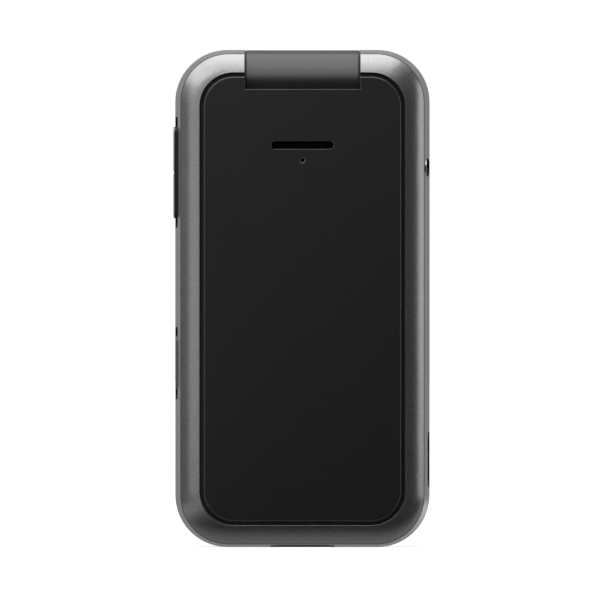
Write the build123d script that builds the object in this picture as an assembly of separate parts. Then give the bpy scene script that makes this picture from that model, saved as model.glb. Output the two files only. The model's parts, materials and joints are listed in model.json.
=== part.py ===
from build123d import *

import os
from math import cos, radians, sin

# A closed flip phone standing on its bottom end, hinge at the top.
# X runs across the phone, Z along it and Y through its thickness. The battery side faces -Y, the lid +Y.
# The origin is on the floor, under the middle of the phone. All sizes are in millimetres.

# Whole phone
PHONE_W = 55.2
PHONE_H = 107.9
PHONE_T = 18.9
CORNER_R = 11.3
BASE_T = 10.4
CLOSED_GAP = 0.3
OPEN_ANGLE = 160.0

# General walls and clearances
WALL = 1.6
SKIN = 0.8
FIT = 0.15
SEAM = 0.1
RUNNING = 0.3
PIN_FIT = 0.05

# Battery side: a sloping band, then a convex ring round a flat inlaid panel
CREASE_SIDE = 1.2
CREASE_TOP = 0.9
CREASE_BOTTOM = 0.7
CREASE_R = 10.4
BAND_DEPTH = 4.6
RING_W = 4.1
RING_DEPTH = 2.0
RING_BULGE = 0.26
LIP_R = 7.4
PANEL_T = 0.8
PANEL_FLANGE_T = 0.3
PANEL_GROOVE = 0.85
PANEL_CHAMFER = 0.2
COVER_FLOOR_T = 1.0
TONGUE_T = 0.9
TONGUE_DEPTH = 1.2
TONGUE_LENGTH = 7.0
BAND_WALL = 1.4
SPLIT_DEPTH = 7.95

# Hinge
HINGE_R = 7.3
BARREL_W = 24.4
NOTCH_DROP = 1.3
BARREL_WALL = 1.4
BARREL_END_T = 1.5
SLEEVE_R = 3.2
SLEEVE_WALL = 0.45
SLEEVE_LENGTH = 16.5
SHAFT_R = 1.45
CAM_T = 2.4
CAM_PIN_R = 0.9
FOLLOWER_T = 2.5
SPRING_WIRE_W = 0.8
SPRING_WIRE_T = 0.5
SPRING_TURNS = 6
SHAFT_HEAD_R = 2.4
SHAFT_HEAD_L = 2.4
EAR_CHEEK_T = 1.2
PIVOT_R = 2.3
PIVOT_WALL = 0.7
BUSH_WALL = 0.9
FLEX_W = 3.8
FLEX_T = 0.2
FLEX_COIL_R = 4.6
FLEX_COIL_GAP = 70.0

# Lid
LID_SIDE_T = 3.75
LID_ROLL = 3.9
CAMERA_PROUD = 0.4
LID_WALL = 1.4
LID_INNER_T = 1.75
SADDLE_START = 4.6
SADDLE_TOP = 3.2
SHOULDER_R = 3.5
WINDOW_T = 0.8
WINDOW_R = 5.0
INNER_WINDOW_SIDE = 3.1
INNER_WINDOW_BOTTOM = 4.5
INNER_WINDOW_DROP = 10.1
DISPLAY_SIDE = 1.5
DISPLAY_BOTTOM = 18.0
DISPLAY_DROP = 20.6
OUTER_WINDOW_SIDE = 9.1
OUTER_WINDOW_BOTTOM = 24.0
OUTER_WINDOW_DROP = 14.6
OUTER_DISPLAY_SIDE = 3.2
OUTER_DISPLAY_BOTTOM = 28.2
OUTER_DISPLAY_GAP = 6.4
CAMERA_DROP = 23.6
DISPLAY_T = 1.8
OUTER_DISPLAY_T = 1.3
CAMERA_W = 8.4
CAMERA_RING_R = 4.8
CAMERA_RING_WALL = 1.3
FLASH_R = 1.7
FLASH_X = 10.5
LID_BOARD_SIDE = 8.1
LID_BOARD_BOTTOM = 14.0
LID_BOARD_DROP = 10.1
LID_PLUG_T = 0.9
LID_PLUG_H = 3.0
LID_BOARD_T = 0.7
EARPIECE_W = 12.0
EARPIECE_H = 6.0
EARPIECE_T = 2.2
EARPIECE_Z = 7.6
EARPIECE_SLOT_W = 9.0
EARPIECE_SLOT_H = 1.3
BUMPER_R = 1.8
BUMPER_PROUD = 0.2
BUMPER_SEAT = 0.5
BUMPER_SIDE = 6.3
BUMPER_BOTTOM_Z = 8.0
BUMPER_DROP = 13.1

# Keypad
PLATE_T = 1.05
KEY_TOP_DROP = 0.1
KEY_FLANGE_T = 0.3
KEY_FLANGE_W = 0.45
KEY_GAP = 0.1
KEY_TRAVEL_GAP = 0.35
KEY_CHAMFER = 0.25
NUMBER_R = 2.4
KEYPAD_SIDE = 4.5
KEYPAD_BOTTOM = 9.3
KEY_SPACING_X = 1.5
KEY_SPACING_Z = 1.4
SIDE_KEY_H = 11.0
CALL_DROP = 40.4
SOFT_DROP = 20.2
NAV_DROP = 30.3
NAV_W = 24.6
NAV_H = 25.2
NAV_R = 9.0
NAV_FLANGE_DROP = 0.2
OK_R = 5.2
DOME_R = 2.4
DOME_T = 0.25

# Boards and what is on them
BOARD_INSET = 4.0
BOARD_T = 0.8
BOARD_R = 4.0
BOARD_GAP = 0.4
CAN_W = 13.0
CAN_H = 9.0
CAN_T = 1.3
CAN_SIDE = 14.1
CAN_LOW_Z = 13.8
CAN_HIGH_DROP = 17.6
BATTERY_T = 4.2
BATTERY_SIDE = 6.1
BATTERY_Z = 20.6
BATTERY_DROP = 26.0
CONTACT_W = 9.0
CONTACT_H = 2.6
CONTACT_T = 3.0
SIM_W = 26.0
SIM_H = 14.0
SIM_T = 1.1
SIM_SHEET = 0.2
SIM_DROP = 42.6
SPEAKER_W = 15.0
SPEAKER_H = 7.5
SPEAKER_T = 3.0
SPEAKER_DROP = 11.95
MOTOR_R = 4.0
MOTOR_T = 2.7
MOTOR_SIDE = 13.1
MOTOR_DROP = 16.1
MIC_W = 3.0
MIC_H = 1.7
MIC_T = 1.0
CHIN_MIC_X = 9.0
CHIN_MIC_Z = 5.6
SCREW_R = 0.7
SCREW_L = 4.2
SCREW_HEAD_R = 1.4
SCREW_HEAD_T = 0.8
SCREW_BOTTOM_Z = 6.0
SCREW_SIDE = 10.1
SCREW_TOP_SIDE = 7.6
SCREW_DROP = 11.4

# Openings in the housing
SLOT_W = 13.5
SLOT_H = 1.7
SLOT_DROP = 13.4
PINHOLE_R = 0.35
PINHOLE_DROP = 16.7
PINHOLE_CHAMFER = 0.25
JACK_DROP = 18.2
JACK_R = 1.8
JACK_L = 14.0
JACK_BODY_T = 4.0
JACK_BODY_H = 6.0
JACK_HOLE_R = 1.95
PORT_W = 13.9
PORT_T = 3.9
PORT_SHELL_W = 8.94
PORT_SHELL_T = 3.16
PORT_SHELL_L = 7.3
PORT_SHELL_WALL = 0.3
PORT_BEZEL_L = 1.3
PORT_TONGUE_W = 6.7
PORT_TONGUE_T = 0.7
PORT_FOOT_W = 0.8
NAIL_SLOT_L = 11.5
NAIL_SLOT_DEPTH = 0.9
NAIL_SLOT_Z = 19.0
NAIL_SLOT_T = 1.9

# Keys on the left edge
EDGE_KEY_T = 2.6
ROCKER_DROP = 19.3
ROCKER_L = 19.9
ROCKER_PROUD = 0.4
ROCKER_RECESS_L = 23.9
ALARM_Z = 39.95
ALARM_L = 11.6
ALARM_RECESS_L = 15.5
ALARM_RIBS = 13
ALARM_RIB_PITCH = 0.87
EDGE_RECESS_DEPTH = 0.7
EDGE_BOARD_T = 0.4
EDGE_BOARD_W = 2.4
EDGE_FLANGE_T = 0.5
EDGE_FLANGE_GAP = 0.2
EDGE_KEY_INSET = 0.65
SWITCH_W = 2.2
SWITCH_H = 3.6
SWITCH_T = 1.1
SWITCH_TIP_R = 0.6

# Planes through the thickness, from the battery side to the lid's face
Y_BACK = -PHONE_T / 2
Y_CREASE = Y_BACK + RING_DEPTH
Y_WAIST = Y_CREASE + BAND_DEPTH
Y_SPLIT = Y_BACK + SPLIT_DEPTH
Y_KEYPAD = Y_BACK + BASE_T
Y_LID_IN = Y_KEYPAD + CLOSED_GAP
Y_LID_SPLIT = Y_LID_IN + LID_INNER_T
Y_LID_OUT = PHONE_T / 2 - CAMERA_PROUD
Y_LID_SIDE = Y_LID_IN + LID_SIDE_T
Y_FLANGE = Y_BACK + PANEL_T - PANEL_FLANGE_T
Y_PANEL_SEAT = Y_BACK + PANEL_T
Y_COVER_IN = Y_PANEL_SEAT + COVER_FLOOR_T
Y_REAR_WALL = Y_CREASE + SEAM
Y_CHANNEL = Y_REAR_WALL + TONGUE_DEPTH
Y_REAR_IN = Y_REAR_WALL + SKIN
Y_CAVITY = Y_CHANNEL + SKIN
Y_BATTERY = Y_COVER_IN + FIT
Y_WELL = Y_BATTERY + BATTERY_T + FIT
Y_WELL_IN = Y_WELL + SKIN
Y_BOARD = Y_WELL_IN + BOARD_GAP
Y_BOARD_FRONT = Y_BOARD + BOARD_T
Y_PLATE_IN = Y_KEYPAD - PLATE_T
Y_KEY_TOP = Y_KEYPAD - KEY_TOP_DROP
Y_KEY_SEAT = Y_PLATE_IN - KEY_GAP
Y_DISPLAY = Y_LID_IN + SEAM + WINDOW_T + SEAM
Y_LID_BOARD = Y_DISPLAY + DISPLAY_T + RUNNING
Y_WINDOW_SEAT = Y_LID_OUT - WINDOW_T
Y_JACK = Y_REAR_IN + JACK_BODY_T / 2
Y_PORT = Y_BOARD - FIT - PORT_SHELL_T / 2
Y_EDGE_KEY = Y_SPLIT - EDGE_KEY_T / 2 - EDGE_KEY_INSET

# Heights
HINGE_Z = PHONE_H - HINGE_R
NOTCH_Z = HINGE_Z - NOTCH_DROP
LID_CAVITY_TOP = HINGE_Z - HINGE_R - RUNNING - LID_WALL
SIDE_X = PHONE_W / 2
BARREL_X = BARREL_W / 2
EAR_X = BARREL_X + RUNNING
CHEEK_X = EAR_X + EAR_CHEEK_T
FAR = 2 * PHONE_H
SLOT_Z = HINGE_Z - SLOT_DROP
PINHOLE_Z = HINGE_Z - PINHOLE_DROP
JACK_Z = HINGE_Z - JACK_DROP
ROCKER_Z = HINGE_Z - ROCKER_DROP
NAV_Z = HINGE_Z - NAV_DROP
CALL_Z = HINGE_Z - CALL_DROP
SOFT_Z = HINGE_Z - SOFT_DROP
CAMERA_Z = HINGE_Z - CAMERA_DROP
LID_BOARD_TOP = HINGE_Z - LID_BOARD_DROP

# Pieces that fill the room the phone leaves them
BATTERY_W = PHONE_W - 2 * BATTERY_SIDE
BATTERY_H = HINGE_Z - BATTERY_DROP - BATTERY_Z
WELL_SIDE_X = BATTERY_W / 2 + FIT + SKIN
NUMBER_W = (PHONE_W - 2 * KEYPAD_SIDE - 2 * KEY_SPACING_X) / 3
NUMBER_H = (CALL_Z - SIDE_KEY_H / 2 - KEYPAD_BOTTOM - 4 * KEY_SPACING_Z) / 4
SIDE_KEY_W = SIDE_X - KEYPAD_SIDE - NAV_W / 2 - KEY_SPACING_X
SIDE_KEY_X = SIDE_X - KEYPAD_SIDE - SIDE_KEY_W / 2
INNER_WINDOW_W = PHONE_W - 2 * INNER_WINDOW_SIDE
DISPLAY_W = INNER_WINDOW_W - 2 * DISPLAY_SIDE
OUTER_WINDOW_W = PHONE_W - 2 * OUTER_WINDOW_SIDE
OUTER_DISPLAY_W = OUTER_WINDOW_W - 2 * OUTER_DISPLAY_SIDE
OUTER_DISPLAY_TOP = CAMERA_Z - CAMERA_RING_R - OUTER_DISPLAY_GAP
LID_BOARD_W = PHONE_W - 2 * LID_BOARD_SIDE


def at_depth(y):
    """Drawing plane across the phone at a depth, drawn as the battery side is seen: x right, z up."""
    return Plane(origin=(0, y, 0), x_dir=(1, 0, 0), z_dir=(0, -1, 0))


def slab(drawing, y_from, y_to):
    """Prism of a drawing between two depths."""
    return extrude(at_depth(y_to) * drawing, amount=y_to - y_from)


def across(drawing, x_from, x_to):
    """Prism along X of a drawing of depth and height."""
    plane = Plane(origin=(x_from, 0, 0), x_dir=(0, 1, 0), z_dir=(1, 0, 0))
    return extrude(plane * drawing, amount=x_to - x_from)


def upright(drawing, z_from, z_to):
    """Prism along Z of a drawing of x and depth."""
    return extrude(Plane.XY.offset(z_from) * drawing, amount=z_to - z_from)


def block(x_from, x_to, y_from, y_to, z_from, z_to):
    """Box between limits."""
    drawing = Pos((x_from + x_to) / 2, (z_from + z_to) / 2) * Rectangle(x_to - x_from, z_to - z_from)
    return slab(drawing, y_from, y_to)


def bar(radius, x_from, x_to, y=0.0, z=HINGE_Z):
    """Round bar along X, on the hinge axis unless told otherwise."""
    return across(Pos(y, z) * Circle(radius), x_from, x_to)


def disc(radius, x, z, y_from, y_to):
    """Round disc facing through the thickness."""
    return slab(Pos(x, z) * Circle(radius), y_from, y_to)


def both_sides(shape):
    """A shape and its mirror image across the middle of the phone."""
    return shape + mirror(shape, about=Plane.YZ)


def rounded(width, height, radius, x=0.0, z=0.0):
    """Rounded rectangle centred on a point."""
    limit = 0.49 * min(width, height)
    return Pos(x, z) * RectangleRounded(width, height, min(radius, limit))


def standing(width, z_low, z_high, radius):
    """Rounded rectangle centred across the phone, between two heights."""
    return rounded(width, z_high - z_low, radius, z=(z_low + z_high) / 2)


def pill(length, height, x=0.0, z=0.0):
    """Slot outline with round ends, lying along its first direction."""
    return Pos(x, z) * SlotOverall(length, height)


def tall_pill(length, width, y, z):
    """Slot outline standing along Z, drawn in depth and height."""
    return Pos(y, z) * SlotOverall(length, width, rotation=90)


def outline(side, bottom, top, radius):
    """Rounded outline drawn inside the silhouette by its own inset on each edge."""
    return rounded(PHONE_W - 2 * side, PHONE_H - bottom - top, radius, z=(PHONE_H + bottom - top) / 2)


def silhouette(inset=0.0):
    """Silhouette of the phone, drawn smaller by one inset all round."""
    return outline(inset, inset, inset, max(CORNER_R - inset, 1.0))


def crease(inset=0.0, radius_change=None):
    """Edge between band and ring, drawn smaller by an inset."""
    radius = CREASE_R - (inset if radius_change is None else radius_change)
    return outline(CREASE_SIDE + inset, CREASE_BOTTOM + inset, CREASE_TOP + inset, max(radius, 1.0))


def lip(inset=0.0):
    """Inner edge of the ring, drawn smaller by an inset."""
    return crease(RING_W + inset, CREASE_R - LIP_R + inset)


def base_form():
    """Outer form of the keypad half: straight waist, sloping band, convex ring."""
    waist = slab(silhouette(), Y_WAIST, Y_KEYPAD)
    band = loft([at_depth(Y_WAIST) * silhouette(), at_depth(Y_CREASE) * crease()], ruled=True)
    middle_inset = RING_W / 2 - RING_BULGE / 2
    middle = crease(middle_inset, (CREASE_R - LIP_R) / 2)
    y_middle = (Y_CREASE + Y_BACK) / 2 - RING_BULGE
    ring = loft([at_depth(Y_CREASE) * crease(), at_depth(y_middle) * middle, at_depth(Y_BACK) * lip()])
    return waist + band + ring


def between(form, y_from, y_to):
    """The part of a form between two depths."""
    return form & block(-FAR, FAR, y_from, y_to, -FAR, FAR)


def notch(y_from, y_to):
    """Space cut through the top edge for the barrel."""
    return block(-EAR_X, EAR_X, y_from, y_to, NOTCH_Z, FAR)


def barrel_space():
    """Running space of the barrel between the ears."""
    return bar(HINGE_R + RUNNING, -EAR_X, EAR_X)


def hinge_holes():
    """Seats in the two ear cheeks: a square for the cam shaft's head, a round one for the bush."""
    head = across(Pos(0, HINGE_Z) * Rectangle(2 * SHAFT_HEAD_R, 2 * SHAFT_HEAD_R), EAR_X - 1, CHEEK_X + 1)
    return head + bar(PIVOT_R + PIN_FIT + BUSH_WALL, -CHEEK_X - 1, -EAR_X + 1)


def screw_places():
    """Centres of the housing screws, x and z."""
    right = ((SIDE_X - SCREW_SIDE, SCREW_BOTTOM_Z), (SIDE_X - SCREW_TOP_SIDE, HINGE_Z - SCREW_DROP))
    return [(side * x, z) for side in (-1, 1) for x, z in right]


def well_drawing(grow=0.0):
    """Outline of the battery's well, drawn larger by an amount."""
    return rounded(BATTERY_W + 2 * (FIT + grow), BATTERY_H + 2 * (FIT + grow), 1.0 + grow,
                   z=BATTERY_Z + BATTERY_H / 2)


def contact_block_space(grow=0.0):
    """Block that holds the battery contacts, above the well."""
    z_low = BATTERY_Z + BATTERY_H + FIT
    return block(-CONTACT_W / 2 - grow, CONTACT_W / 2 + grow, Y_WELL - CONTACT_T, Y_WELL_IN,
                 z_low - grow, z_low + CONTACT_H + grow)


def rear_housing():
    """Band of the phone with the rear wall, battery well and the rear halves of the ears."""
    form = base_form()
    shell = between(form, Y_REAR_WALL, Y_SPLIT)
    channel = crease(BAND_WALL) - crease(BAND_WALL + TONGUE_T + 2 * FIT)
    shell -= slab(channel, Y_REAR_WALL - 1, Y_CHANNEL)
    shell -= slab(silhouette(WALL), Y_CAVITY, Y_SPLIT + 1)
    shell -= slab(crease(BAND_WALL + TONGUE_T + 2 * FIT + SKIN), Y_REAR_IN, Y_CAVITY + 1)
    shell += slab(well_drawing(SKIN), Y_REAR_IN - SKIN / 2, Y_WELL_IN)
    shell -= slab(well_drawing(), Y_REAR_WALL - 1, Y_WELL)
    shell -= contact_block_space(PIN_FIT)
    sim_space = rounded(SIM_W + 2 * FIT, SIM_H + 2 * FIT, 0.5, z=HINGE_Z - SIM_DROP)
    shell -= slab(sim_space, Y_WELL - 1, Y_WELL_IN + 1)
    y_post = Y_REAR_WALL + 2 * SKIN + SCREW_HEAD_T
    for x, z in screw_places():
        post = disc(SCREW_HEAD_R + FIT + 0.5, x, z, Y_REAR_IN - SKIN / 2, y_post)
        shell += post & between(form, Y_REAR_WALL, Y_SPLIT)
        shell -= disc(SCREW_HEAD_R + FIT, x, z, Y_REAR_WALL - 1, Y_REAR_IN + SCREW_HEAD_T)
        shell -= disc(SCREW_R + FIT, x, z, Y_REAR_WALL - 1, Y_SPLIT + 1)
    cradle = bar(HINGE_R + RUNNING + SKIN, -CHEEK_X, CHEEK_X) & between(form, Y_REAR_WALL, Y_SPLIT)
    shell = shell + cradle - barrel_space() - notch(Y_REAR_WALL - 1, Y_SPLIT + 1) - hinge_holes()
    shell -= slab(pill(SLOT_W - 1, SLOT_H - 0.4, z=SLOT_Z), Y_REAR_WALL - 1, Y_REAR_IN + 1)
    shell -= disc(PINHOLE_R, 0, PINHOLE_Z, Y_REAR_WALL - 1, Y_REAR_IN + 1)
    shell -= bar(JACK_HOLE_R, SIDE_X - WALL - 2, SIDE_X + 1, Y_JACK, JACK_Z)
    shell -= jack_body(PIN_FIT)
    shell -= upright(pill(PORT_W, PORT_T, 0, Y_PORT), -1, WALL + 1)
    nail_r = (NAIL_SLOT_L ** 2 / 4 + NAIL_SLOT_DEPTH ** 2) / (2 * NAIL_SLOT_DEPTH)
    nail_x = SIDE_X - NAIL_SLOT_DEPTH + nail_r
    nail_y = Y_EDGE_KEY - NAIL_SLOT_T / 2
    shell -= disc(nail_r, nail_x, NAIL_SLOT_Z, nail_y, nail_y + NAIL_SLOT_T)
    for z, length, recess in ((ROCKER_Z, ROCKER_L, ROCKER_RECESS_L), (ALARM_Z, ALARM_L, ALARM_RECESS_L)):
        hole = tall_pill(length + 2 * RUNNING, EDGE_KEY_T + 2 * FIT, Y_EDGE_KEY, z)
        shell -= across(hole, -SIDE_X - 1, -SIDE_X + WALL + 1)
        scoop = tall_pill(recess, EDGE_KEY_T + 2 * FIT, Y_EDGE_KEY, z)
        shell -= across(scoop, -SIDE_X - 1, -SIDE_X + EDGE_RECESS_DEPTH)
    return shell


def key_places():
    """Name, outline and centre of every round-cornered key; the user faces the keypad from +Y."""
    places = []
    names = ("key_1", "key_2", "key_3", "key_4", "key_5", "key_6",
             "key_7", "key_8", "key_9", "key_star", "key_0", "key_hash")
    for index, name in enumerate(names):
        row, column = divmod(index, 3)
        x = (1 - column) * (NUMBER_W + KEY_SPACING_X)
        z = KEYPAD_BOTTOM + NUMBER_H / 2 + (3 - row) * (NUMBER_H + KEY_SPACING_Z)
        places.append((name, (NUMBER_W, NUMBER_H), x, z))
    side_key = (SIDE_KEY_W, SIDE_KEY_H)
    places.append(("call_key", side_key, SIDE_KEY_X, CALL_Z))
    places.append(("end_key", side_key, -SIDE_KEY_X, CALL_Z))
    places.append(("soft_key_left", side_key, SIDE_KEY_X, SOFT_Z))
    places.append(("soft_key_right", side_key, -SIDE_KEY_X, SOFT_Z))
    return places


def nav_drawing(grow=0.0):
    """Outline of the navigation ring, drawn larger by an amount."""
    return rounded(NAV_W + 2 * grow, NAV_H + 2 * grow, NAV_R + grow, z=NAV_Z)


def keypad_frame():
    """Front of the keypad half: key plate, rim and the front halves of the hinge ears."""
    form = between(base_form(), Y_SPLIT, Y_KEYPAD)
    ears = slab(silhouette(), Y_SPLIT, HINGE_R + 1) & bar(HINGE_R, -FAR, FAR)
    frame = form + ears
    frame -= slab(silhouette(WALL), Y_SPLIT - 1, Y_PLATE_IN)
    ear_room = both_sides(bar(HINGE_R - WALL, CHEEK_X, SIDE_X - WALL))
    frame -= ear_room & slab(silhouette(WALL), Y_SPLIT - 1, HINGE_R)
    cradle = bar(HINGE_R + RUNNING + SKIN, -CHEEK_X, CHEEK_X) & form
    ear_roots = both_sides(bar(HINGE_R, EAR_X, CHEEK_X)) & block(-FAR, FAR, Y_SPLIT, FAR, 0, FAR)
    frame = frame + cradle + ear_roots
    frame = frame - barrel_space() - notch(Y_SPLIT - 1, FAR) - hinge_holes()
    for _, (width, height), x, z in key_places():
        frame -= slab(rounded(width + 2 * FIT, height + 2 * FIT, NUMBER_R + FIT, x, z), Y_PLATE_IN - 1, FAR)
    frame -= slab(nav_drawing(FIT), Y_PLATE_IN - 1, FAR)
    frame -= disc(PINHOLE_R, CHIN_MIC_X, CHIN_MIC_Z, Y_PLATE_IN - 1, FAR)
    for x, z in screw_places():
        y_post = Y_REAR_WALL + 2 * SKIN + SCREW_HEAD_T + FIT
        frame += disc(SCREW_HEAD_R + FIT, x, z, y_post, Y_PLATE_IN + 0.2)
        frame -= disc(SCREW_R + 0.02, x, z, Y_REAR_WALL, Y_PLATE_IN)
    return frame


def battery_cover():
    """Ring and floor of the battery side, with its locating tongues."""
    cover = between(base_form(), Y_BACK, Y_CREASE)
    cover -= slab(lip(), Y_BACK - 1, Y_PANEL_SEAT)
    cover -= slab(crease(BAND_WALL + FIT), Y_COVER_IN, Y_CREASE + 1)
    rim = crease(BAND_WALL + FIT) - crease(BAND_WALL + FIT + TONGUE_T)
    tongue_windows = Sketch()
    for z in (BATTERY_Z + TONGUE_LENGTH, BATTERY_Z + BATTERY_H / 2, BATTERY_Z + BATTERY_H):
        tongue_windows += Pos(0, z) * Rectangle(PHONE_W, TONGUE_LENGTH)
    for x in (-BATTERY_W / 4, BATTERY_W / 4):
        tongue_windows += Pos(x, 0) * Rectangle(TONGUE_LENGTH, CORNER_R)
    cover += slab(rim & tongue_windows, Y_COVER_IN - SKIN / 2, Y_CHANNEL - FIT)
    cover -= slab(pill(SLOT_W, SLOT_H - 0.4, z=SLOT_Z), Y_BACK, Y_CREASE + 1)
    cover -= slab(pill(SLOT_W + 1.6, SLOT_H + 1.0, z=SLOT_Z), Y_BACK, Y_PANEL_SEAT + FLEX_T)
    cover -= disc(PINHOLE_R, 0, PINHOLE_Z, Y_BACK, Y_CREASE + 1)
    return cover - notch(Y_BACK - 1, Y_CREASE + 1) - barrel_space()


def back_panel():
    """Inlaid panel: a low flange in the ring's lip and a raised face with a chamfered edge."""
    flange = slab(lip(PIN_FIT), Y_FLANGE, Y_PANEL_SEAT)
    plateau = slab(lip(PANEL_GROOVE), Y_BACK + PANEL_CHAMFER, Y_PANEL_SEAT)
    face = loft([at_depth(Y_BACK + PANEL_CHAMFER) * lip(PANEL_GROOVE),
                 at_depth(Y_BACK) * lip(PANEL_GROOVE + PANEL_CHAMFER)], ruled=True)
    panel = flange + plateau + face - notch(Y_BACK - 1, Y_PANEL_SEAT + 1)
    panel -= slab(pill(SLOT_W, SLOT_H, z=SLOT_Z), Y_BACK - 1, Y_PANEL_SEAT + 1)
    panel -= disc(PINHOLE_R, 0, PINHOLE_Z, Y_BACK - 1, Y_PANEL_SEAT + 1)
    wide = at_depth(Y_BACK) * Pos(0, PINHOLE_Z) * Circle(PINHOLE_R + PINHOLE_CHAMFER)
    narrow = at_depth(Y_BACK + PINHOLE_CHAMFER) * Pos(0, PINHOLE_Z) * Circle(PINHOLE_R)
    return panel - loft([wide, narrow], ruled=True)


def speaker_mesh():
    """Perforated strip behind the speaker slot."""
    mesh = slab(pill(SLOT_W + 1.4, SLOT_H + 0.8, z=SLOT_Z), Y_PANEL_SEAT, Y_PANEL_SEAT + FLEX_T)
    holes = Sketch()
    for row in (-1, 1):
        for column in range(-7, 8):
            holes += Pos(0.8 * column + 0.2 * row, SLOT_Z + 0.4 * row) * Rectangle(0.4, 0.4)
    return mesh - slab(holes, Y_PANEL_SEAT - 1, Y_PANEL_SEAT + 1)


def battery():
    """Flat removable battery with its end cap and contact pads."""
    cell = slab(rounded(BATTERY_W, BATTERY_H, 1.2, z=BATTERY_Z + BATTERY_H / 2), Y_BATTERY, Y_WELL - FIT)
    z_top = BATTERY_Z + BATTERY_H
    for x in (-CONTACT_W / 4, 0, CONTACT_W / 4):
        cell -= block(x - 0.6, x + 0.6, Y_WELL - FIT - 2.4, Y_WELL - FIT - 0.6, z_top - 0.3, z_top + 1)
    return cell


def main_board():
    """Circuit board of the keypad half, cut away round the barrel, the posts and the side switches."""
    width = PHONE_W - 2 * BOARD_INSET
    z_low = 2 * WALL
    board = slab(rounded(width, HINGE_Z - z_low, BOARD_R, z=(HINGE_Z + z_low) / 2), Y_BOARD, Y_BOARD_FRONT)
    board -= bar(HINGE_R + 2 * RUNNING + SKIN, -FAR, FAR)
    for x, z in screw_places():
        board -= disc(SCREW_HEAD_R + 2 * FIT + RUNNING, x, z, Y_BOARD - 1, Y_BOARD_FRONT + 1)
    return board


def shield_cans():
    """Two folded metal cans over the radio and power circuits."""
    cans = Part()
    can_x = SIDE_X - CAN_SIDE
    for x, z in ((-can_x, HINGE_Z - CAN_HIGH_DROP), (can_x, CAN_LOW_Z), (-can_x, CAN_LOW_Z)):
        can = slab(rounded(CAN_W, CAN_H, 0.8, x, z), Y_BOARD - CAN_T, Y_BOARD)
        inside = rounded(CAN_W - 0.5, CAN_H - 0.5, 0.5, x, z)
        cans += can - slab(inside, Y_BOARD - CAN_T + 0.25, Y_BOARD + 1)
    return cans


def key_domes():
    """Snap domes under the keys, four of them under the navigation ring."""
    places = [(x, z) for _, _, x, z in key_places()] + [(0, NAV_Z)]
    reach = NAV_W / 2 - DOME_R - 1
    places += [(reach, NAV_Z), (-reach, NAV_Z), (0, NAV_Z + reach), (0, NAV_Z - reach)]
    domes = Part()
    for x, z in places:
        foot = at_depth(Y_BOARD_FRONT) * Pos(x, z) * RegularPolygon(DOME_R, 8)
        crown = at_depth(Y_BOARD_FRONT + DOME_T) * Pos(x, z) * RegularPolygon(DOME_R / 2, 8)
        domes += loft([foot, crown], ruled=True)
    return domes


def key_solid(drawing_at, drop=0.0):
    """Key with a chamfered cap in the plate and a flange behind it, the flange lower by a drop."""
    y_seat = Y_KEY_SEAT - drop
    cap = slab(drawing_at(0), y_seat - KEY_FLANGE_T / 2, Y_KEY_TOP - KEY_CHAMFER)
    rim = at_depth(Y_KEY_TOP - KEY_CHAMFER) * drawing_at(0)
    face = at_depth(Y_KEY_TOP) * drawing_at(-KEY_CHAMFER)
    top = loft([rim, face], ruled=True)
    return cap + top + slab(drawing_at(KEY_FLANGE_W), y_seat - KEY_FLANGE_T, y_seat)


def plain_key(place):
    """Number, call, end or soft key."""
    _, (width, height), x, z = place

    def drawing_at(grow):
        return rounded(width + 2 * grow, height + 2 * grow, NUMBER_R + grow, x, z)
    return key_solid(drawing_at)


def nav_ring():
    """Navigation ring that rocks round the centre key."""
    ring = key_solid(nav_drawing, NAV_FLANGE_DROP)
    ring -= disc(OK_R + FIT, 0, NAV_Z, Y_BOARD_FRONT, FAR)
    return ring - disc(OK_R + KEY_FLANGE_W + FIT, 0, NAV_Z, Y_BOARD_FRONT, Y_KEY_SEAT + FIT)


def centre_key():
    """Round key in the middle of the navigation ring."""
    def drawing_at(grow):
        return Pos(0, NAV_Z) * Circle(OK_R + grow)
    return key_solid(drawing_at)


def edge_key(z, length, proud):
    """Side key: pill-shaped cap through the wall and a flange behind it."""
    x_flange = -SIDE_X + WALL + EDGE_FLANGE_GAP
    cap = tall_pill(length, EDGE_KEY_T, Y_EDGE_KEY, z)
    cap = across(cap, -SIDE_X - proud, x_flange + EDGE_FLANGE_T / 2)
    flange = tall_pill(length + 2 * SKIN, EDGE_KEY_T + SKIN, Y_EDGE_KEY, z)
    return cap + across(flange, x_flange, x_flange + EDGE_FLANGE_T)


def volume_rocker():
    """Long rocker key, proud of the edge, with a waist between its two ends."""
    rocker = edge_key(ROCKER_Z, ROCKER_L, ROCKER_PROUD)
    outer = rocker.faces().sort_by(Axis.X)[0]
    rocker = chamfer(outer.edges(), ROCKER_PROUD / 2)
    x_waist = -SIDE_X - ROCKER_PROUD + 0.15
    return rocker - block(-SIDE_X - 1, x_waist, Y_BACK, 0, ROCKER_Z - 0.3, ROCKER_Z + 0.3)


def emergency_key():
    """Flush key with grip ribs across it."""
    key = edge_key(ALARM_Z, ALARM_L, 0.0)
    for index in range(ALARM_RIBS):
        z = ALARM_Z + (index - (ALARM_RIBS - 1) / 2) * ALARM_RIB_PITCH
        half = ALARM_RIB_PITCH / 4
        key -= block(-SIDE_X - 1, -SIDE_X + 0.2, Y_BACK, 0, z - half, z + half)
    return key


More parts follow.
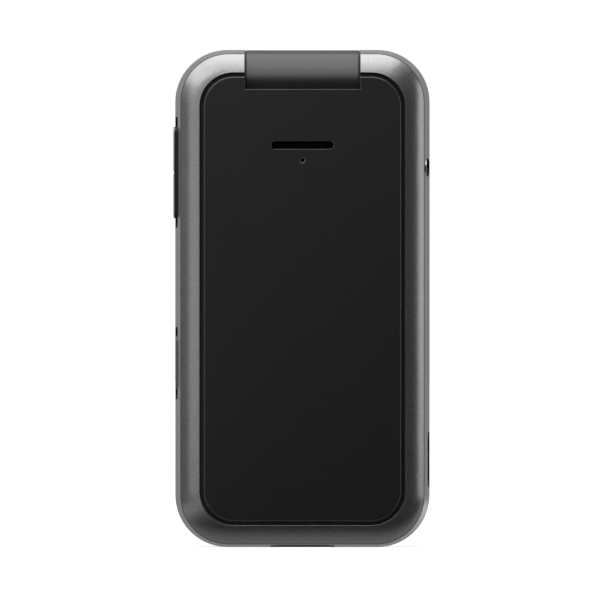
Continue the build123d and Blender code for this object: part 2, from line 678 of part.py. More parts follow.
def side_switches():
    """Strip of circuit along the well's wall: push switches behind the rocker's ends and the key."""
    z_low, z_high = ALARM_Z - SWITCH_H, ROCKER_Z + ROCKER_L / 2
    x_strip = -WELL_SIDE_X - EDGE_BOARD_T
    y_low, y_high = Y_EDGE_KEY - EDGE_BOARD_W / 2, Y_EDGE_KEY + EDGE_BOARD_W / 2
    strip = block(x_strip, -WELL_SIDE_X, y_low, y_high, z_low, z_high)
    x_key = -SIDE_X + WALL + EDGE_FLANGE_GAP + EDGE_FLANGE_T
    for z in (ROCKER_Z - ROCKER_L / 3, ROCKER_Z + ROCKER_L / 3, ALARM_Z):
        body = Pos(Y_EDGE_KEY, z) * Rectangle(SWITCH_W, SWITCH_H)
        strip += across(body, x_strip - SWITCH_T, x_strip)
        strip += bar(SWITCH_TIP_R, x_key + KEY_TRAVEL_GAP, x_strip - SWITCH_T / 2, Y_EDGE_KEY, z)
    return strip


def loudspeaker():
    """Loudspeaker capsule behind the slot, with its raised cone surround."""
    drawing = rounded(SPEAKER_W, SPEAKER_H, 1.2, z=HINGE_Z - SPEAKER_DROP)
    gasket = drawing - offset(drawing, -SKIN)
    y_body = Y_REAR_IN + SPEAKER_T / 6
    return slab(drawing, y_body, Y_REAR_IN + SPEAKER_T) + slab(gasket, Y_REAR_IN, y_body)


def vibration_motor():
    """Coin motor."""
    return disc(MOTOR_R, MOTOR_SIDE - SIDE_X, HINGE_Z - MOTOR_DROP, Y_REAR_IN, Y_REAR_IN + MOTOR_T)


def microphones():
    """One capsule behind the pinhole of the panel and one under the keypad's lower edge."""
    upper = slab(rounded(MIC_W, MIC_H, 0.2, z=PINHOLE_Z), Y_REAR_IN, Y_REAR_IN + MIC_T)
    lower = slab(rounded(MIC_W, MIC_H, 0.2, CHIN_MIC_X, CHIN_MIC_Z), Y_BOARD_FRONT, Y_PLATE_IN - SEAM)
    return upper + lower


def usb_connector():
    """Oval metal shell with a contact tongue, on feet that reach the board."""
    z_mouth = PORT_BEZEL_L + FIT
    outer = pill(PORT_SHELL_W, PORT_SHELL_T, 0, Y_PORT)
    inner = pill(PORT_SHELL_W - 2 * PORT_SHELL_WALL, PORT_SHELL_T - 2 * PORT_SHELL_WALL, 0, Y_PORT)
    z_end = z_mouth + PORT_SHELL_L
    shell = upright(outer, z_mouth, z_end) - upright(inner, z_mouth - 1, z_end - 2 * PORT_SHELL_WALL)
    tongue = Pos(0, Y_PORT) * Rectangle(PORT_TONGUE_W, PORT_TONGUE_T)
    tongue = upright(tongue, z_mouth + PORT_TONGUE_T, z_end)
    x_foot = PORT_SHELL_W / 2 - 2 * PORT_FOOT_W
    y_foot = Y_PORT + PORT_SHELL_T / 2 - PORT_SHELL_WALL
    foot = block(x_foot, x_foot + PORT_FOOT_W, y_foot, Y_BOARD, z_end - 4 * PORT_FOOT_W, z_end - PORT_FOOT_W)
    return shell + tongue + both_sides(foot)


def port_bezel():
    """Black oblong surround of the port, let into the bottom end."""
    opening = pill(PORT_SHELL_W + 2 * FIT, PORT_SHELL_T + 2 * FIT, 0, Y_PORT)
    bezel = pill(PORT_W - PIN_FIT, PORT_T - PIN_FIT, 0, Y_PORT) - opening
    return upright(bezel, PORT_BEZEL_L / 4, PORT_BEZEL_L)


def jack_body(grow=0.0):
    """Outside of the headphone socket behind the wall, drawn larger by an amount."""
    x_face = SIDE_X - WALL - SEAM
    half_h, half_t = JACK_BODY_H / 2 + grow, JACK_BODY_T / 2
    return block(x_face - JACK_L - grow, x_face + grow, Y_JACK - half_t, Y_JACK + half_t + grow,
                 JACK_Z - half_h, JACK_Z + half_h)


def audio_jack():
    """Headphone socket: moulded body with a blind bore."""
    x_face = SIDE_X - WALL - SEAM
    return jack_body() - bar(JACK_R, x_face - JACK_L + 1, x_face + 1, Y_JACK, JACK_Z)


def sim_holder():
    """Sheet-metal card cage in the floor of the battery well."""
    z = HINGE_Z - SIM_DROP
    cage = slab(rounded(SIM_W, SIM_H, 0.5, z=z), Y_BOARD - SIM_T, Y_BOARD)
    card_slot = Pos(0, z - SIM_H / 2) * Rectangle(SIM_W - 5 * SIM_SHEET, 2 * (SIM_H - SKIN))
    cage -= slab(card_slot, Y_BOARD - SIM_T + SIM_SHEET, Y_BOARD - SIM_SHEET)
    thumb_cut = Pos(0, z - SIM_H / 2) * Rectangle(SIM_W / 2, SIM_H / 2)
    return cage - slab(thumb_cut, Y_BOARD - 2 * SIM_T, Y_BOARD - SIM_SHEET)


def battery_contacts():
    """Moulded block with three spring blades facing the battery's end."""
    contacts = contact_block_space()
    z_low = BATTERY_Z + BATTERY_H + FIT
    for x in (-CONTACT_W / 4, 0, CONTACT_W / 4):
        slot = block(x - 0.7, x + 0.7, Y_WELL - CONTACT_T - 1, Y_WELL - 0.3, z_low - 1, z_low + 1.2)
        blade = block(x - 0.4, x + 0.4, Y_WELL - CONTACT_T + 0.3, Y_WELL - 0.5, z_low, z_low + 1.4)
        contacts = contacts - slot + blade
    return contacts


def screw(x, z, y_head, length):
    """Small machine screw driven towards the lid's face: flat head with a cross slot, and its shank."""
    y_shank = y_head + SCREW_HEAD_T
    body = disc(SCREW_HEAD_R, x, z, y_head, y_shank) + disc(SCREW_R, x, z, y_shank, y_shank + length)
    cross = Pos(x, z) * (Rectangle(1.8, 0.4) + Rectangle(0.4, 1.8))
    return body - slab(cross, y_head, y_head + SCREW_HEAD_T / 2)


def base_screws():
    """Four screws from the battery side into the keypad frame's posts."""
    return Part() + [screw(x, z, Y_REAR_IN, SCREW_L) for x, z in screw_places()]


def hinge_barrel():
    """Hollow barrel of the lid with a boss for the hinge unit and a hollow pivot for the circuit."""
    barrel = bar(HINGE_R, -BARREL_X, BARREL_X)
    inner_x = BARREL_X - BARREL_END_T
    barrel -= bar(HINGE_R - BARREL_WALL, -inner_x, inner_x)
    sleeve_end = BARREL_X - SLEEVE_LENGTH
    barrel += bar(SLEEVE_R + PIN_FIT + SKIN, sleeve_end, BARREL_X - BARREL_END_T / 2)
    barrel -= bar(SLEEVE_R + 0.02, sleeve_end - 1, BARREL_X + 1)
    barrel += bar(PIVOT_R, -CHEEK_X - 1.5, -BARREL_X + BARREL_END_T / 2)
    barrel -= bar(PIVOT_R - PIVOT_WALL, -FAR, -inner_x + 1)
    return barrel - flex_passage()


def flex_centre_x():
    """Middle of the flexible circuit's width."""
    return -BARREL_X + BARREL_END_T + FLEX_W / 2 + RUNNING


def flex_passage():
    """Slot through the barrel's wall and the lid's end wall for the flexible circuit."""
    half = FLEX_W / 2 + RUNNING
    y_from, y_to = FLEX_COIL_R - 0.4, FLEX_COIL_R + FLEX_T + 0.4
    return block(flex_centre_x() - half, flex_centre_x() + half, y_from, y_to,
                 LID_CAVITY_TOP - 1, HINGE_Z - 2)


def hinge_flex():
    """Flexible circuit: rolled once round inside the barrel, then straight down to the lid's board."""
    x_from, x_to = flex_centre_x() - FLEX_W / 2, flex_centre_x() + FLEX_W / 2
    ring = bar(FLEX_COIL_R + FLEX_T, x_from, x_to) - bar(FLEX_COIL_R, x_from - 1, x_to + 1)
    gap = radians(FLEX_COIL_GAP)
    reach = 2 * HINGE_R
    drop = -reach * sin(gap)
    wedge = Polygon((0, 0), (reach, 0), (reach, drop), (reach * cos(gap), drop), align=None)
    ring -= across(Pos(0, HINGE_Z) * wedge, x_from - 1, x_to + 1)
    return ring + block(x_from, x_to, FLEX_COIL_R, FLEX_COIL_R + FLEX_T, LID_BOARD_TOP + FIT, HINGE_Z)


def hinge_sleeve():
    """Steel tube of the hinge unit, closed at its inner end and crimped round the shaft."""
    x_low = BARREL_X - SLEEVE_LENGTH
    sleeve = bar(SLEEVE_R, x_low, BARREL_X) - bar(SLEEVE_R - SLEEVE_WALL, x_low + SKIN, BARREL_X - SKIN)
    return sleeve - bar(SHAFT_R + PIN_FIT, BARREL_X - 1, BARREL_X + 1)


def cam_end_x():
    """Face of the cam that presses on the follower."""
    return BARREL_X - SKIN - SEAM - CAM_T


def cam_lobes(x_from, x_to, turn):
    """Two opposed V-shaped lobes across a cam's face."""
    ridge = Polygon((-0.9, 0), (0.9, 0), (0, x_to - x_from), align=None)
    along, across_it = (0, cos(turn), sin(turn)), (0, -sin(turn), cos(turn))
    plane = Plane(origin=(x_from, 0, HINGE_Z), x_dir=along, z_dir=across_it)
    return extrude(plane * ridge, amount=SLEEVE_R, both=True)


def hinge_cam_shaft():
    """Shaft fixed in the ear: square head, journal, cam disc with detent grooves, long guide pin."""
    head = across(Pos(0, HINGE_Z) * Rectangle(2 * SHAFT_HEAD_R - 0.04, 2 * SHAFT_HEAD_R - 0.04),
                  EAR_X + SEAM / 2, EAR_X + SHAFT_HEAD_L)
    journal = bar(SHAFT_R, cam_end_x() + CAM_T / 2, EAR_X + SHAFT_HEAD_L / 2)
    cam = bar(SLEEVE_R - SLEEVE_WALL - FIT, cam_end_x(), cam_end_x() + CAM_T)
    pin = bar(CAM_PIN_R, BARREL_X - SLEEVE_LENGTH + SKIN + 1, cam_end_x() + CAM_T / 2)
    cam -= cam_lobes(cam_end_x(), cam_end_x() + 0.6, 0.0)
    return head + journal + cam + pin


def hinge_follower():
    """Cam follower that slides on the pin and is pressed against the cam."""
    x_face = cam_end_x() - PIN_FIT
    follower = bar(SLEEVE_R - SLEEVE_WALL - FIT, x_face - FOLLOWER_T, x_face)
    return follower - bar(CAM_PIN_R + PIN_FIT, x_face - FOLLOWER_T - 1, x_face + 1)


def hinge_spring():
    """Compression spring behind the follower."""
    x_low = BARREL_X - SLEEVE_LENGTH + SKIN
    x_high = cam_end_x() - PIN_FIT - FOLLOWER_T
    radius = SLEEVE_R - SLEEVE_WALL - FIT - SPRING_WIRE_W / 2
    height = x_high - x_low - SPRING_WIRE_T - 2 * PIN_FIT
    path = Helix(pitch=height / SPRING_TURNS, height=height, radius=radius)
    start = Plane(origin=path @ 0, x_dir=(1, 0, 0), z_dir=path % 0)
    section = start * Rectangle(SPRING_WIRE_W, SPRING_WIRE_T)
    wire = sweep(section, path=path, is_frenet=True)
    return Pos(x_low + SPRING_WIRE_T / 2 + PIN_FIT, 0, HINGE_Z) * Rot(0, 90, 0) * wire


def hinge_bush():
    """Flanged bush in the other ear, in which the barrel's hollow pivot turns."""
    outer = PIVOT_R + PIN_FIT + BUSH_WALL
    bush = bar(outer - 0.02, -CHEEK_X, -EAR_X - SEAM / 2) + bar(outer + 0.6, -CHEEK_X - 0.8, -CHEEK_X)
    return bush - bar(PIVOT_R + PIN_FIT, -FAR, 0)


def lid_form():
    """Outer form of the lid before it is cut at the hinge: rolled outer edge, rounded shoulders."""
    roll = min(LID_ROLL, 0.95 * (Y_LID_OUT - Y_LID_SIDE))
    form = slab(silhouette(), Y_LID_IN, Y_LID_OUT)
    form = fillet(form.faces().sort_by(Axis.Y)[-1].edges(), roll)
    lean = radians(OPEN_ANGLE - 90)
    z_shoulder = HINGE_Z + (Y_LID_OUT * cos(lean) - HINGE_R - RUNNING) / sin(lean)
    limit = standing(PHONE_W, -CORNER_R, z_shoulder, SHOULDER_R) + standing(BARREL_W, 0, PHONE_H, WALL)
    return form & slab(limit, Y_LID_IN, Y_LID_OUT)


def shoulder_cut():
    """Space that the ears and the top of the keypad half need, from closed to fully open."""
    reach = HINGE_R + RUNNING
    ears = bar(reach, BARREL_X, FAR)
    top_edge = block(BARREL_X, FAR, -PHONE_T, 0, -PHONE_T, reach)
    return both_sides(ears + Pos(0, 0, HINGE_Z) * Rot(-OPEN_ANGLE, 0, 0) * top_edge)


def saddle_cut():
    """What the lid loses above its saddle, whose face runs tangent into the barrel."""
    z_start = HINGE_Z - SADDLE_START
    reach = Y_LID_OUT
    radius = (reach ** 2 + SADDLE_START ** 2 - HINGE_R ** 2) / (2 * (reach - HINGE_R))
    region = block(-BARREL_X, BARREL_X, -1, FAR, z_start, FAR)
    saddle = bar(radius, -FAR, FAR, reach - radius, z_start)
    top = block(-BARREL_X, BARREL_X, -1, FAR, HINGE_Z + SADDLE_TOP, FAR)
    return (region - saddle) + top + bar(HINGE_R + PIN_FIT, -BARREL_X, BARREL_X) + block(
        -BARREL_X, BARREL_X, -FAR, PIN_FIT, HINGE_Z - HINGE_R - 1, FAR)


def lid_cavity(inset, y_from, y_to):
    """Room inside the lid between two depths."""
    return slab(outline(inset, inset, PHONE_H - LID_CAVITY_TOP, CORNER_R - inset), y_from, y_to)


def grown(width, z_low, z_high, radius, grow):
    """Upright rounded rectangle between two heights, drawn larger by an amount."""
    return standing(width + 2 * grow, z_low - grow, z_high + grow, radius)


def inner_window_drawing(grow=0.0):
    """Outline of the window over the main display, drawn larger by an amount."""
    return grown(INNER_WINDOW_W, INNER_WINDOW_BOTTOM, HINGE_Z - INNER_WINDOW_DROP, WINDOW_R, grow)


def display_drawing(grow=0.0):
    """Outline of the main display, drawn larger by an amount."""
    return grown(DISPLAY_W, DISPLAY_BOTTOM, HINGE_Z - DISPLAY_DROP, SIM_SHEET, grow)


def outer_window_drawing(grow=0.0):
    """Outline of the window in the lid's face, drawn larger by an amount."""
    return grown(OUTER_WINDOW_W, OUTER_WINDOW_BOTTOM, HINGE_Z - OUTER_WINDOW_DROP, WINDOW_R, grow)


def outer_display_drawing(grow=0.0):
    """Outline of the small display, drawn larger by an amount."""
    return grown(OUTER_DISPLAY_W, OUTER_DISPLAY_BOTTOM, OUTER_DISPLAY_TOP, SIM_SHEET, grow)


def lid_bumper_places():
    """Centres of the rubber bumpers and of the screws under them."""
    heights = (BUMPER_BOTTOM_Z, HINGE_Z - BUMPER_DROP)
    return [(side * (SIDE_X - BUMPER_SIDE), z) for side in (-1, 1) for z in heights]


def lid_outer_shell():
    """Rolled outer shell of the lid with the seat of the outer window."""
    form = lid_form() - shoulder_cut() - saddle_cut()
    shell = between(form, Y_LID_SPLIT, FAR)
    y_mid = (Y_LID_SPLIT + Y_WINDOW_SEAT) / 2
    shell -= lid_cavity(LID_WALL, Y_LID_SPLIT - 1, y_mid)
    shell -= lid_cavity(2 * LID_WALL, y_mid - 1, Y_WINDOW_SEAT - 1)
    shell -= slab(outer_window_drawing(SEAM), Y_WINDOW_SEAT, FAR)
    shell -= slab(outer_display_drawing(FIT), Y_WINDOW_SEAT - 2, FAR)
    shell -= disc(CAMERA_RING_R + SEAM, 0, CAMERA_Z, Y_WINDOW_SEAT - 2, FAR)
    shell -= disc(FLASH_R + PIN_FIT, FLASH_X, CAMERA_Z, Y_WINDOW_SEAT - 2, FAR)
    for x, z in lid_bumper_places():
        post = disc(SCREW_HEAD_R, x, z, Y_LID_SPLIT, Y_WINDOW_SEAT - 1 + PIN_FIT) & form
        shell += post
        shell -= disc(SCREW_R + 0.02, x, z, Y_LID_SPLIT - 1, Y_LID_SPLIT + SCREW_L)
    return shell - flex_passage()


def lid_inner_shell():
    """Inner frame of the lid round the main display."""
    form = lid_form() - shoulder_cut() - saddle_cut()
    frame = between(form, Y_LID_IN, Y_LID_SPLIT)
    frame -= slab(inner_window_drawing(SEAM), Y_LID_IN - 1, Y_LID_IN + SEAM + WINDOW_T)
    frame -= slab(display_drawing(FIT), 0, Y_LID_SPLIT + 1)
    frame -= slab(pill(EARPIECE_SLOT_W, EARPIECE_SLOT_H, z=EARPIECE_Z), 0, Y_LID_SPLIT + 1)
    for x, z in lid_bumper_places():
        frame -= disc(BUMPER_R + PIN_FIT, x, z, 0, Y_LID_IN + BUMPER_SEAT)
        frame -= disc(SCREW_HEAD_R + PIN_FIT, x, z, 0, Y_LID_IN + BUMPER_SEAT + SCREW_HEAD_T)
        frame -= disc(SCREW_R + FIT, x, z, 0, Y_LID_SPLIT + 1)
    return frame


def display_window():
    """Clear window over the main display, with the earpiece slot."""
    window = slab(inner_window_drawing(), Y_LID_IN + SEAM, Y_LID_IN + SEAM + WINDOW_T)
    for x, z in lid_bumper_places():
        window -= disc(BUMPER_R + FIT, x, z, 0, Y_LID_SPLIT)
    return window - slab(pill(EARPIECE_SLOT_W, EARPIECE_SLOT_H, z=EARPIECE_Z), 0, Y_LID_SPLIT)


def main_display():
    """Display module: glass stack on a shallow metal tray."""
    glass = slab(display_drawing(), Y_DISPLAY, Y_DISPLAY + DISPLAY_T / 2)
    return glass + slab(display_drawing(-RUNNING), Y_DISPLAY + DISPLAY_T / 2, Y_DISPLAY + DISPLAY_T)


def lid_board():
    """Circuit board of the lid, with the connector of the flexible circuit."""
    y_front = Y_LID_BOARD + LID_BOARD_T
    board = slab(standing(LID_BOARD_W, LID_BOARD_BOTTOM, LID_BOARD_TOP, WALL), Y_LID_BOARD, y_front)
    z_plug = LID_BOARD_TOP - LID_PLUG_H / 3
    return board + block(flex_centre_x() - FLEX_W, flex_centre_x() + FLEX_W, y_front, y_front + LID_PLUG_T,
                         z_plug - LID_PLUG_H, z_plug)


def outer_display():
    """Small display module behind the outer window."""
    y_front = Y_WINDOW_SEAT - PIN_FIT
    return slab(outer_display_drawing(), y_front - OUTER_DISPLAY_T, y_front)


def outer_window():
    """Glossy window let into the lid's face, pierced for the camera ring and the flash."""
    window = slab(outer_window_drawing(), Y_WINDOW_SEAT, Y_LID_OUT)
    window -= disc(CAMERA_RING_R + SEAM, 0, CAMERA_Z, 0, FAR)
    return window - disc(FLASH_R + PIN_FIT, FLASH_X, CAMERA_Z, 0, FAR)


def camera_ring():
    """Turned ring round the camera, the only part proud of the lid's face."""
    y_front = Y_LID_OUT + CAMERA_PROUD
    ring = disc(CAMERA_RING_R, 0, CAMERA_Z, Y_WINDOW_SEAT - 1, y_front - 0.2)
    wide = at_depth(y_front - 0.2) * Pos(0, CAMERA_Z) * Circle(CAMERA_RING_R)
    narrow = at_depth(y_front) * Pos(0, CAMERA_Z) * Circle(CAMERA_RING_R - 0.3)
    ring += loft([wide, narrow], ruled=True)
    return ring - disc(CAMERA_RING_R - CAMERA_RING_WALL, 0, CAMERA_Z, 0, FAR)


def camera_lens():
    """Clear disc in the camera ring."""
    return disc(CAMERA_RING_R - CAMERA_RING_WALL - 0.03, 0, CAMERA_Z, Y_LID_OUT - WINDOW_T, Y_LID_OUT)


def camera_module():
    """Square camera body with its round lens barrel."""
    y_front = Y_WINDOW_SEAT - 1 - PIN_FIT
    body = slab(rounded(CAMERA_W, CAMERA_W, 0.6, z=CAMERA_Z), Y_LID_BOARD + LID_BOARD_T, y_front)
    barrel_r = CAMERA_RING_R - CAMERA_RING_WALL - FIT
    return body + disc(barrel_r, 0, CAMERA_Z, y_front - 0.5, Y_WINDOW_SEAT - FIT)


def flash_lens():
    """Frosted lens of the flash, a stepped disc."""
    top = disc(FLASH_R, FLASH_X, CAMERA_Z, Y_WINDOW_SEAT - 1.2, Y_LID_OUT)
    return top + disc(FLASH_R + 0.6, FLASH_X, CAMERA_Z, Y_WINDOW_SEAT - 2.0, Y_WINDOW_SEAT - 1.1)


def earpiece():
    """Receiver capsule behind the earpiece slot."""
    return slab(rounded(EARPIECE_W, EARPIECE_H, 2.5, z=EARPIECE_Z), Y_LID_SPLIT, Y_LID_SPLIT + EARPIECE_T)


def lid_bumpers():
    """Rubber bumpers that cover the lid's screws."""
    return Part() + [disc(BUMPER_R, x, z, Y_LID_IN - BUMPER_PROUD, Y_LID_IN + BUMPER_SEAT)
                     for x, z in lid_bumper_places()]


def lid_screws():
    """Four screws under the bumpers."""
    return Part() + [screw(x, z, Y_LID_IN + BUMPER_SEAT, SCREW_L - 0.5) for x, z in lid_bumper_places()]


def all_pieces():
    """Every piece of the phone by name."""
    makers = (rear_housing, keypad_frame, battery_cover, back_panel, speaker_mesh, battery, main_board,
              shield_cans, key_domes, nav_ring, centre_key, volume_rocker, emergency_key, side_switches,
              loudspeaker, vibration_motor, microphones, usb_connector, port_bezel, audio_jack, sim_holder,
              battery_contacts, base_screws, hinge_barrel, hinge_flex, hinge_sleeve, hinge_cam_shaft,
              hinge_follower, hinge_spring, hinge_bush, lid_outer_shell, lid_inner_shell, display_window,
              main_display, lid_board, outer_display, outer_window, camera_ring, camera_lens, camera_module,
              flash_lens, earpiece, lid_bumpers, lid_screws)
    pieces = {maker.__name__: maker() for maker in makers}
    for place in key_places():
        pieces[place[0]] = plain_key(place)
    return pieces


os.makedirs("parts", exist_ok=True)
for piece_name, piece in all_pieces().items():
    export_step(piece, f"parts/{piece_name}.step")
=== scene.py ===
"""Looks of the closed flip phone: finishes, eased outer pieces, keys and their marks, light and camera."""
import json
import math

import bmesh
import bpy
import numpy as np
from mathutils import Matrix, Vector


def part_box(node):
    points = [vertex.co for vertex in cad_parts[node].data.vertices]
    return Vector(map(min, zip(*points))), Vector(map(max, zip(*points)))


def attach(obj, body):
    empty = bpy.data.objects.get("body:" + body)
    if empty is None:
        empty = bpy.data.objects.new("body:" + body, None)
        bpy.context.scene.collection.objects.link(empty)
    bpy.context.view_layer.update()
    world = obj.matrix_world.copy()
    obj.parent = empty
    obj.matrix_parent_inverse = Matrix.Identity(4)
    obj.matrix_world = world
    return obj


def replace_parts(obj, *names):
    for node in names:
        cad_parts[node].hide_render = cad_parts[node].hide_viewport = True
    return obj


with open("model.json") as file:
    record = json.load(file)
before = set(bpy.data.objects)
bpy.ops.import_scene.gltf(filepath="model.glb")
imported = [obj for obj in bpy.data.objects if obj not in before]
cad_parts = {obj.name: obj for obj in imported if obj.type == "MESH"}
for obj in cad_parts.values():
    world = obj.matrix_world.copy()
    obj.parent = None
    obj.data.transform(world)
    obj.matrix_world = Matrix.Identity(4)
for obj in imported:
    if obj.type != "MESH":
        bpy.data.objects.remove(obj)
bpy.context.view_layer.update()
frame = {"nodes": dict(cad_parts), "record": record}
nodes = frame["nodes"]
body_of = {node: body for body, members in frame["record"]["behaviour"]["bodies"].items() for node in members}

MM = 0.001
PHOTO_PIXELS = 600
PHOTO_SCALE = 0.2166 * MM
PHOTO_CENTRE = (-0.53 * MM, 53.63 * MM)
CAMERA_DISTANCE = 3.0
CAMERA_CLIP = 0.01, 20.0
SENSOR = 36.0


def low(node, axis):
    """Lowest coordinate of a node's box at rest, along "xyz"."""
    return float(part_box(node)[0]["xyz".index(axis)])


def high(node, axis):
    """Highest coordinate of a node's box at rest, along "xyz"."""
    return float(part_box(node)[1]["xyz".index(axis)])


def middle(node, axis):
    """Middle of a node's box at rest, along "xyz"."""
    return (low(node, axis) + high(node, axis)) / 2


def half_sizes(node):
    """Half the width and half the height of a node's box."""
    return (high(node, "x") - low(node, "x")) / 2, (high(node, "z") - low(node, "z")) / 2


# Main places, read from the frame. The steps between them and the corner's radius are those of the CAD.
SIDE_X = high("keypad_frame", "x")
TOP_Z = high("keypad_frame", "z")
Y_BACK = low("back_panel", "y")
Y_CREASE = Y_BACK + 2.0 * MM
Y_KEY_TOP = high("key_1", "y")
Y_KEYPAD = Y_KEY_TOP + 0.1 * MM
HINGE_Z = middle("hinge_barrel", "z")
EAR_X = high("hinge_barrel", "x") + 0.3 * MM
NOTCH_Z = HINGE_Z - 1.3 * MM
CORNER_R = 11.3 * MM


# Shader helpers

def put(tree, kind, inputs=None, **settings):
    """Adds a shader node; inputs are values or sockets of other nodes, by name or number."""
    made = tree.nodes.new("ShaderNode" + kind)
    for key, value in settings.items():
        setattr(made, key, value)
    connect(tree, made, inputs or {})
    return made


def connect(tree, made, inputs):
    """Feeds a node's inputs with values or with sockets of other nodes."""
    for key, value in inputs.items():
        if isinstance(value, bpy.types.NodeSocket):
            tree.links.new(value, made.inputs[key])
        else:
            made.inputs[key].default_value = value


def maths(tree, operation, *values):
    """Adds a Math node and returns its result."""
    return put(tree, "Math", dict(enumerate(values)), operation=operation).outputs[0]


def vector_maths(tree, operation, *values, result="Vector"):
    """Adds a Vector Math node and returns its result."""
    return put(tree, "VectorMath", dict(enumerate(values)), operation=operation).outputs[result]


def use(tree, group, inputs):
    """Places a shared group in a material's tree and returns its outputs."""
    made = tree.nodes.new("ShaderNodeGroup")
    made.node_tree = group
    connect(tree, made, inputs)
    return made.outputs


def new_group(name, inputs, outputs):
    """Empty shader node group with named sockets; each is (name, socket type)."""
    tree = bpy.data.node_groups.new(name, "ShaderNodeTree")
    for direction, sockets in (("INPUT", inputs), ("OUTPUT", outputs)):
        for label, kind in sockets:
            tree.interface.new_socket(name=label, in_out=direction, socket_type="NodeSocket" + kind)
    return tree, tree.nodes.new("NodeGroupInput").outputs, tree.nodes.new("NodeGroupOutput").inputs


def round_one(tree, value, contrast):
    """Turns a value round one half into a shade round one."""
    return maths(tree, "ADD", maths(tree, "MULTIPLY", maths(tree, "SUBTRACT", value, 0.5), contrast), 1.0)


GRAIN_ROUGH, HANDLING_PATCHES, HANDLING_SHADE, BUMP_STRENGTH = 0.10, 70.0, 0.05, 0.5


def grain_group():
    """Fine even grain of a moulded or painted skin: shade round 1, roughness shift and height."""
    tree, given, out = new_group(
        "skin_grain", [("Vector", "Vector"), ("Size", "Float"), ("Contrast", "Float")],
        [("Shade", "Float"), ("Rough", "Float"), ("Height", "Float")])
    scale = maths(tree, "DIVIDE", 1.0, given["Size"])
    fine = put(tree, "TexNoise", {"Vector": given["Vector"], "Scale": scale, "Detail": 2.0}).outputs["Fac"]
    tree.links.new(round_one(tree, fine, given["Contrast"]), out["Shade"])
    tree.links.new(maths(tree, "MULTIPLY", maths(tree, "SUBTRACT", fine, 0.5), GRAIN_ROUGH), out["Rough"])
    tree.links.new(fine, out["Height"])
    return tree


def handling_group():
    """Faint marks of handling: broad soft patches that make a surface a little duller or shinier."""
    tree, given, out = new_group("handling_marks", [("Vector", "Vector"), ("Amount", "Float")],
                                 [("Rough", "Float"), ("Shade", "Float")])
    broad = put(tree, "TexNoise", {"Vector": given["Vector"], "Scale": HANDLING_PATCHES, "Detail": 4.0,
                                   "Roughness": 0.6}).outputs["Fac"]
    shift = maths(tree, "MULTIPLY", maths(tree, "SUBTRACT", broad, 0.5), given["Amount"])
    tree.links.new(shift, out["Rough"])
    tree.links.new(round_one(tree, broad, HANDLING_SHADE), out["Shade"])
    return tree


def flake_group():
    """Metal flakes in paint: small cells, each a little lighter or darker than the next."""
    tree, given, out = new_group(
        "metal_flakes", [("Vector", "Vector"), ("Size", "Float"), ("Contrast", "Float")],
        [("Shade", "Float")])
    scale = maths(tree, "DIVIDE", 1.0, given["Size"])
    cells = put(tree, "TexVoronoi", {"Vector": given["Vector"], "Scale": scale})
    value = put(tree, "SeparateColor", {0: cells.outputs["Color"]}).outputs[0]
    tree.links.new(round_one(tree, value, given["Contrast"]), out["Shade"])
    return tree


def outline_group():
    """How deep a point lies inside the phone's rounded outline, in metres, by the distance formula of a
    rounded rectangle: the corner's radius less the length of the part of the offset outside the core."""
    tree, given, out = new_group("inside_outline", [("Vector", "Vector")], [("Depth", "Float")])
    parts = put(tree, "SeparateXYZ", {0: given["Vector"]}).outputs
    from_middle = maths(tree, "ABSOLUTE", maths(tree, "SUBTRACT", parts["Z"], TOP_Z / 2))
    over_x = maths(tree, "SUBTRACT", maths(tree, "ABSOLUTE", parts["X"]), SIDE_X - CORNER_R)
    over_z = maths(tree, "SUBTRACT", from_middle, TOP_Z / 2 - CORNER_R)
    out_x, out_z = maths(tree, "MAXIMUM", over_x, 0.0), maths(tree, "MAXIMUM", over_z, 0.0)
    squares = maths(tree, "ADD", maths(tree, "MULTIPLY", out_x, out_x), maths(tree, "MULTIPLY", out_z, out_z))
    inner = maths(tree, "MINIMUM", maths(tree, "MAXIMUM", over_x, over_z), 0.0)
    offset = maths(tree, "ADD", maths(tree, "SQRT", squares), inner)
    tree.links.new(maths(tree, "SUBTRACT", CORNER_R, offset), out["Depth"])
    return tree


def box_group():
    """One inside a box given by its middle and half sizes, nought outside."""
    tree, given, out = new_group(
        "box_region", [("Vector", "Vector"), ("Middle", "Vector"), ("Half", "Vector")], [("Mask", "Float")])
    offset = vector_maths(tree, "SUBTRACT", given["Vector"], given["Middle"])
    over = vector_maths(tree, "SUBTRACT", vector_maths(tree, "ABSOLUTE", offset), given["Half"])
    parts = put(tree, "SeparateXYZ", {0: over}).outputs
    farthest = maths(tree, "MAXIMUM", maths(tree, "MAXIMUM", parts["X"], parts["Y"]), parts["Z"])
    tree.links.new(maths(tree, "LESS_THAN", farthest, 0.0), out["Mask"])
    return tree


def round_group():
    """One nearer than a radius to a line through a point, nought elsewhere. Across holds one for each
    coordinate that counts and nought for the one along the line."""
    tree, given, out = new_group(
        "round_region",
        [("Vector", "Vector"), ("Middle", "Vector"), ("Across", "Vector"), ("Radius", "Float")],
        [("Mask", "Float")])
    offset = vector_maths(tree, "SUBTRACT", given["Vector"], given["Middle"])
    offset = vector_maths(tree, "MULTIPLY", offset, given["Across"])
    distance = vector_maths(tree, "LENGTH", offset, result="Value")
    tree.links.new(maths(tree, "LESS_THAN", distance, given["Radius"]), out["Mask"])
    return tree


FLAKE_SIZE = 0.22 * MM
GRAIN, HANDLING, FLAKES = grain_group(), handling_group(), flake_group()
OUTLINE, BOX, ROUND = outline_group(), box_group(), round_group()


def tinted(tree, colour, shades):
    """A colour multiplied by shade values that vary over the surface."""
    factor = shades[0]
    for shade in shades[1:]:
        factor = maths(tree, "MULTIPLY", factor, shade)
    return put(tree, "VectorMath", {0: colour, "Scale": factor}, operation="SCALE").outputs[0]


# Zones of a finish: each gives a mask over the surface of a piece

FAR = 300.0
ALL = (-FAR, FAR)


